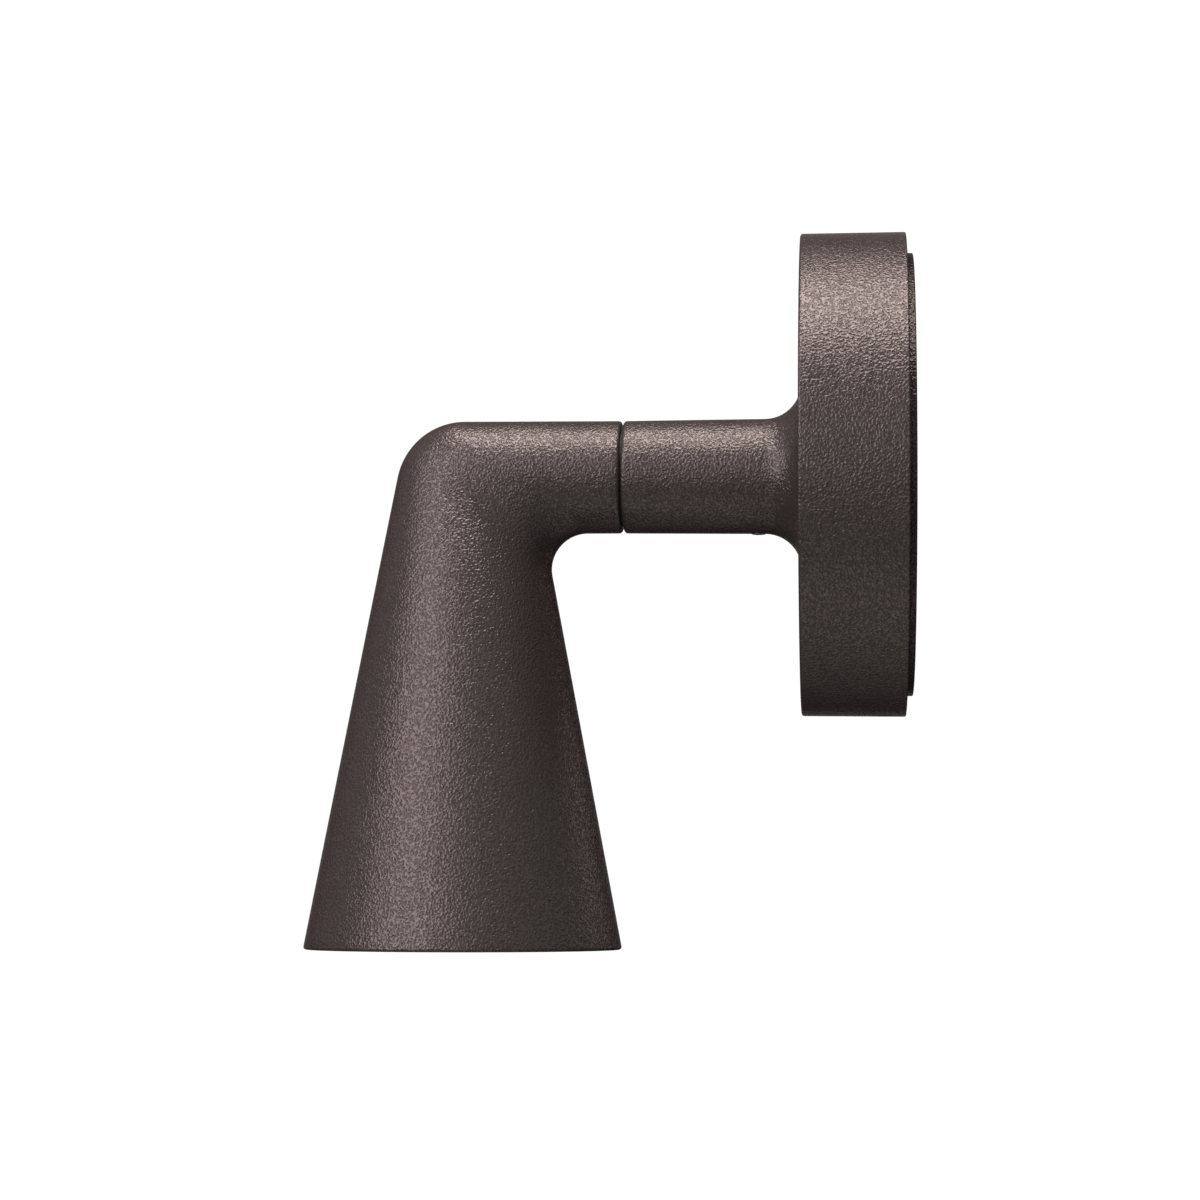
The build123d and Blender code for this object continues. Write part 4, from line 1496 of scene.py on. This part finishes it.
@dataclass(frozen=True)
class Sheet:
    """A flat painted sheet of the set.

    Attributes:
        name: Its name.
        middle: Its middle, in metres.
        along: From the middle to one edge.
        across: From the middle to the next edge.
        mirrored: How white reflections see it, from 0, as it is lit, to 1.
        colour: Colour of the paint.
        whiteness: How much of the camera's view of it is plain white.
        glow: Brightness of that white.
        clouds: Clouds of the paint in a metre.
        steps: Steps of its grid each way.
    """

    name: str
    middle: Point
    along: Point
    across: Point
    mirrored: float
    colour: Colour = (0.78, 0.78, 0.78)
    whiteness: float = 0.85
    glow: float = 1.2
    clouds: float = 3.0
    steps: int = 20

    def build(self) -> None:
        """Makes the sheet: the middle plus a share of each edge vector, on a grid of shares from -1 to 1."""
        share = np.linspace(-1.0, 1.0, self.steps + 1)
        first, second = np.meshgrid(share, share, indexing="ij")
        grid = np.array(self.middle) + first[..., None] * self.along + second[..., None] * self.across
        sheet = Surface(grid, loop_columns=False).piece(self.name, self.paint())

    def paint(self) -> bpy.types.Material:
        """Clouded pale paint that the camera and the glass see almost white. The rest is the part's shadow.

        Returns:
            The material.
        """
        material = bpy.data.materials.new(f"{self.name}_paint")
        material.use_nodes = True
        graph = Graph(material.node_tree)
        cloud = graph.noise(graph.point(), self.clouds, detail=2.0)
        colour = graph.blend(cloud, self.colour, shaded(self.colour, factor=0.96))
        paint = graph.node("ShaderNodeBsdfDiffuse", {}, {"Color": colour})
        white = graph.node("ShaderNodeEmission", {}, {"Color": (*WHITE, 1.0), "Strength": self.glow})
        reflected = graph.ray("Is Glossy Ray") * (self.whiteness * self.mirrored)
        share = graph.straight_ray() * self.whiteness + reflected
        mixed = graph.node("ShaderNodeMixShader", {}, {0: share, 1: paint, 2: white})
        graph.end("ShaderNodeOutputMaterial", mixed)
        material.cycles.emission_sampling = "NONE"
        return material


@dataclass
class Studio:
    """Floor, backdrop, surroundings, lamps and camera.

    Attributes:
        fill: Brightness of the surroundings as a light.
        mirrored: Brightness of the surroundings in reflections.
        tint: Colour of the surroundings as a light and in reflections.
        sheets: The floor and the backdrop.
        lamps: The soft boxes.
        viewpoint: The camera.
    """

    fill: float = 0.07
    mirrored: float = 0.18
    tint: Colour = (0.99, 1.01, 1.09)
    sheets: tuple[Sheet, ...] = (
        Sheet("floor", (0.0, 0.0, -1.2), (40.0, 0.0, 0.0), (0.0, 40.0, 0.0), mirrored=0.0),
        Sheet("backdrop", (-4.0, 0.0, 1.8), (0.0, 5.0, 0.0), (0.0, 0.0, 3.0), mirrored=0.8),
    )
    lamps: tuple[Lamp, ...] = (
        Lamp("top_box", (0.14, -0.06, 0.74), (0.0, -0.06, -0.04), (0.54, 0.62), 4.15),
        Lamp("side_box", (0.675, -0.646, 0.296), (0.0, -0.08, -0.06), (0.84, 0.90), 1.58, (1.0, 0.98, 1.02)),
        Lamp("front_box", (1.10, -0.12, -0.06), (0.0, -0.06, -0.05), (0.70, 0.70), 0.31),
        Lamp("low_box", (0.45, -0.20, -0.95), (0.0, -0.06, -0.05), (0.50, 0.80), 0.24, (0.95, 1.0, 0.95)),
        Lamp("back_box", (-0.80, 0.80, 0.30), (0.0, -0.05, -0.05), (0.55, 0.80), 0.50, (0.90, 1.04, 1.14)),
        Lamp("far_box", (-0.72, -0.94, 0.24), (0.0, -0.06, -0.05), (0.60, 0.80), 0.52, (0.97, 0.99, 1.14)),
    )
    viewpoint: Viewpoint = Viewpoint()

    def build(self) -> None:
        """Makes the whole studio."""
        bpy.context.scene.view_settings.view_transform = "Standard"
        self.surroundings()
        for thing in (*self.sheets, *self.lamps, self.viewpoint):
            thing.build()

    def surroundings(self) -> None:
        """White where camera or glass look past the sheets, dim in reflections and dimmer as a light."""
        world = bpy.data.worlds.new("surroundings")
        bpy.context.scene.world = world
        world.use_nodes = True
        graph = Graph(world.node_tree)
        straight = graph.straight_ray()
        reflected = graph.ray("Is Glossy Ray") * (self.mirrored - self.fill)
        strength = straight * (1.0 - self.fill) + reflected + self.fill
        colour = graph.blend(straight, self.tint, WHITE)
        shader = graph.node("ShaderNodeBackground", {}, {"Color": colour, "Strength": strength})
        graph.end("ShaderNodeOutputWorld", shader)


def main() -> None:
    """Builds the sub-assemblies in order, then the studio."""
    logging.basicConfig(level=logging.INFO, format="%(name)s: %(message)s")
    for group in (WallPlate(), Wiring(), BaseHousing(), Swivel(), Head(), LightEngine()):
        group.build()
    Studio().build()


if __name__ == "__main__":
    main()
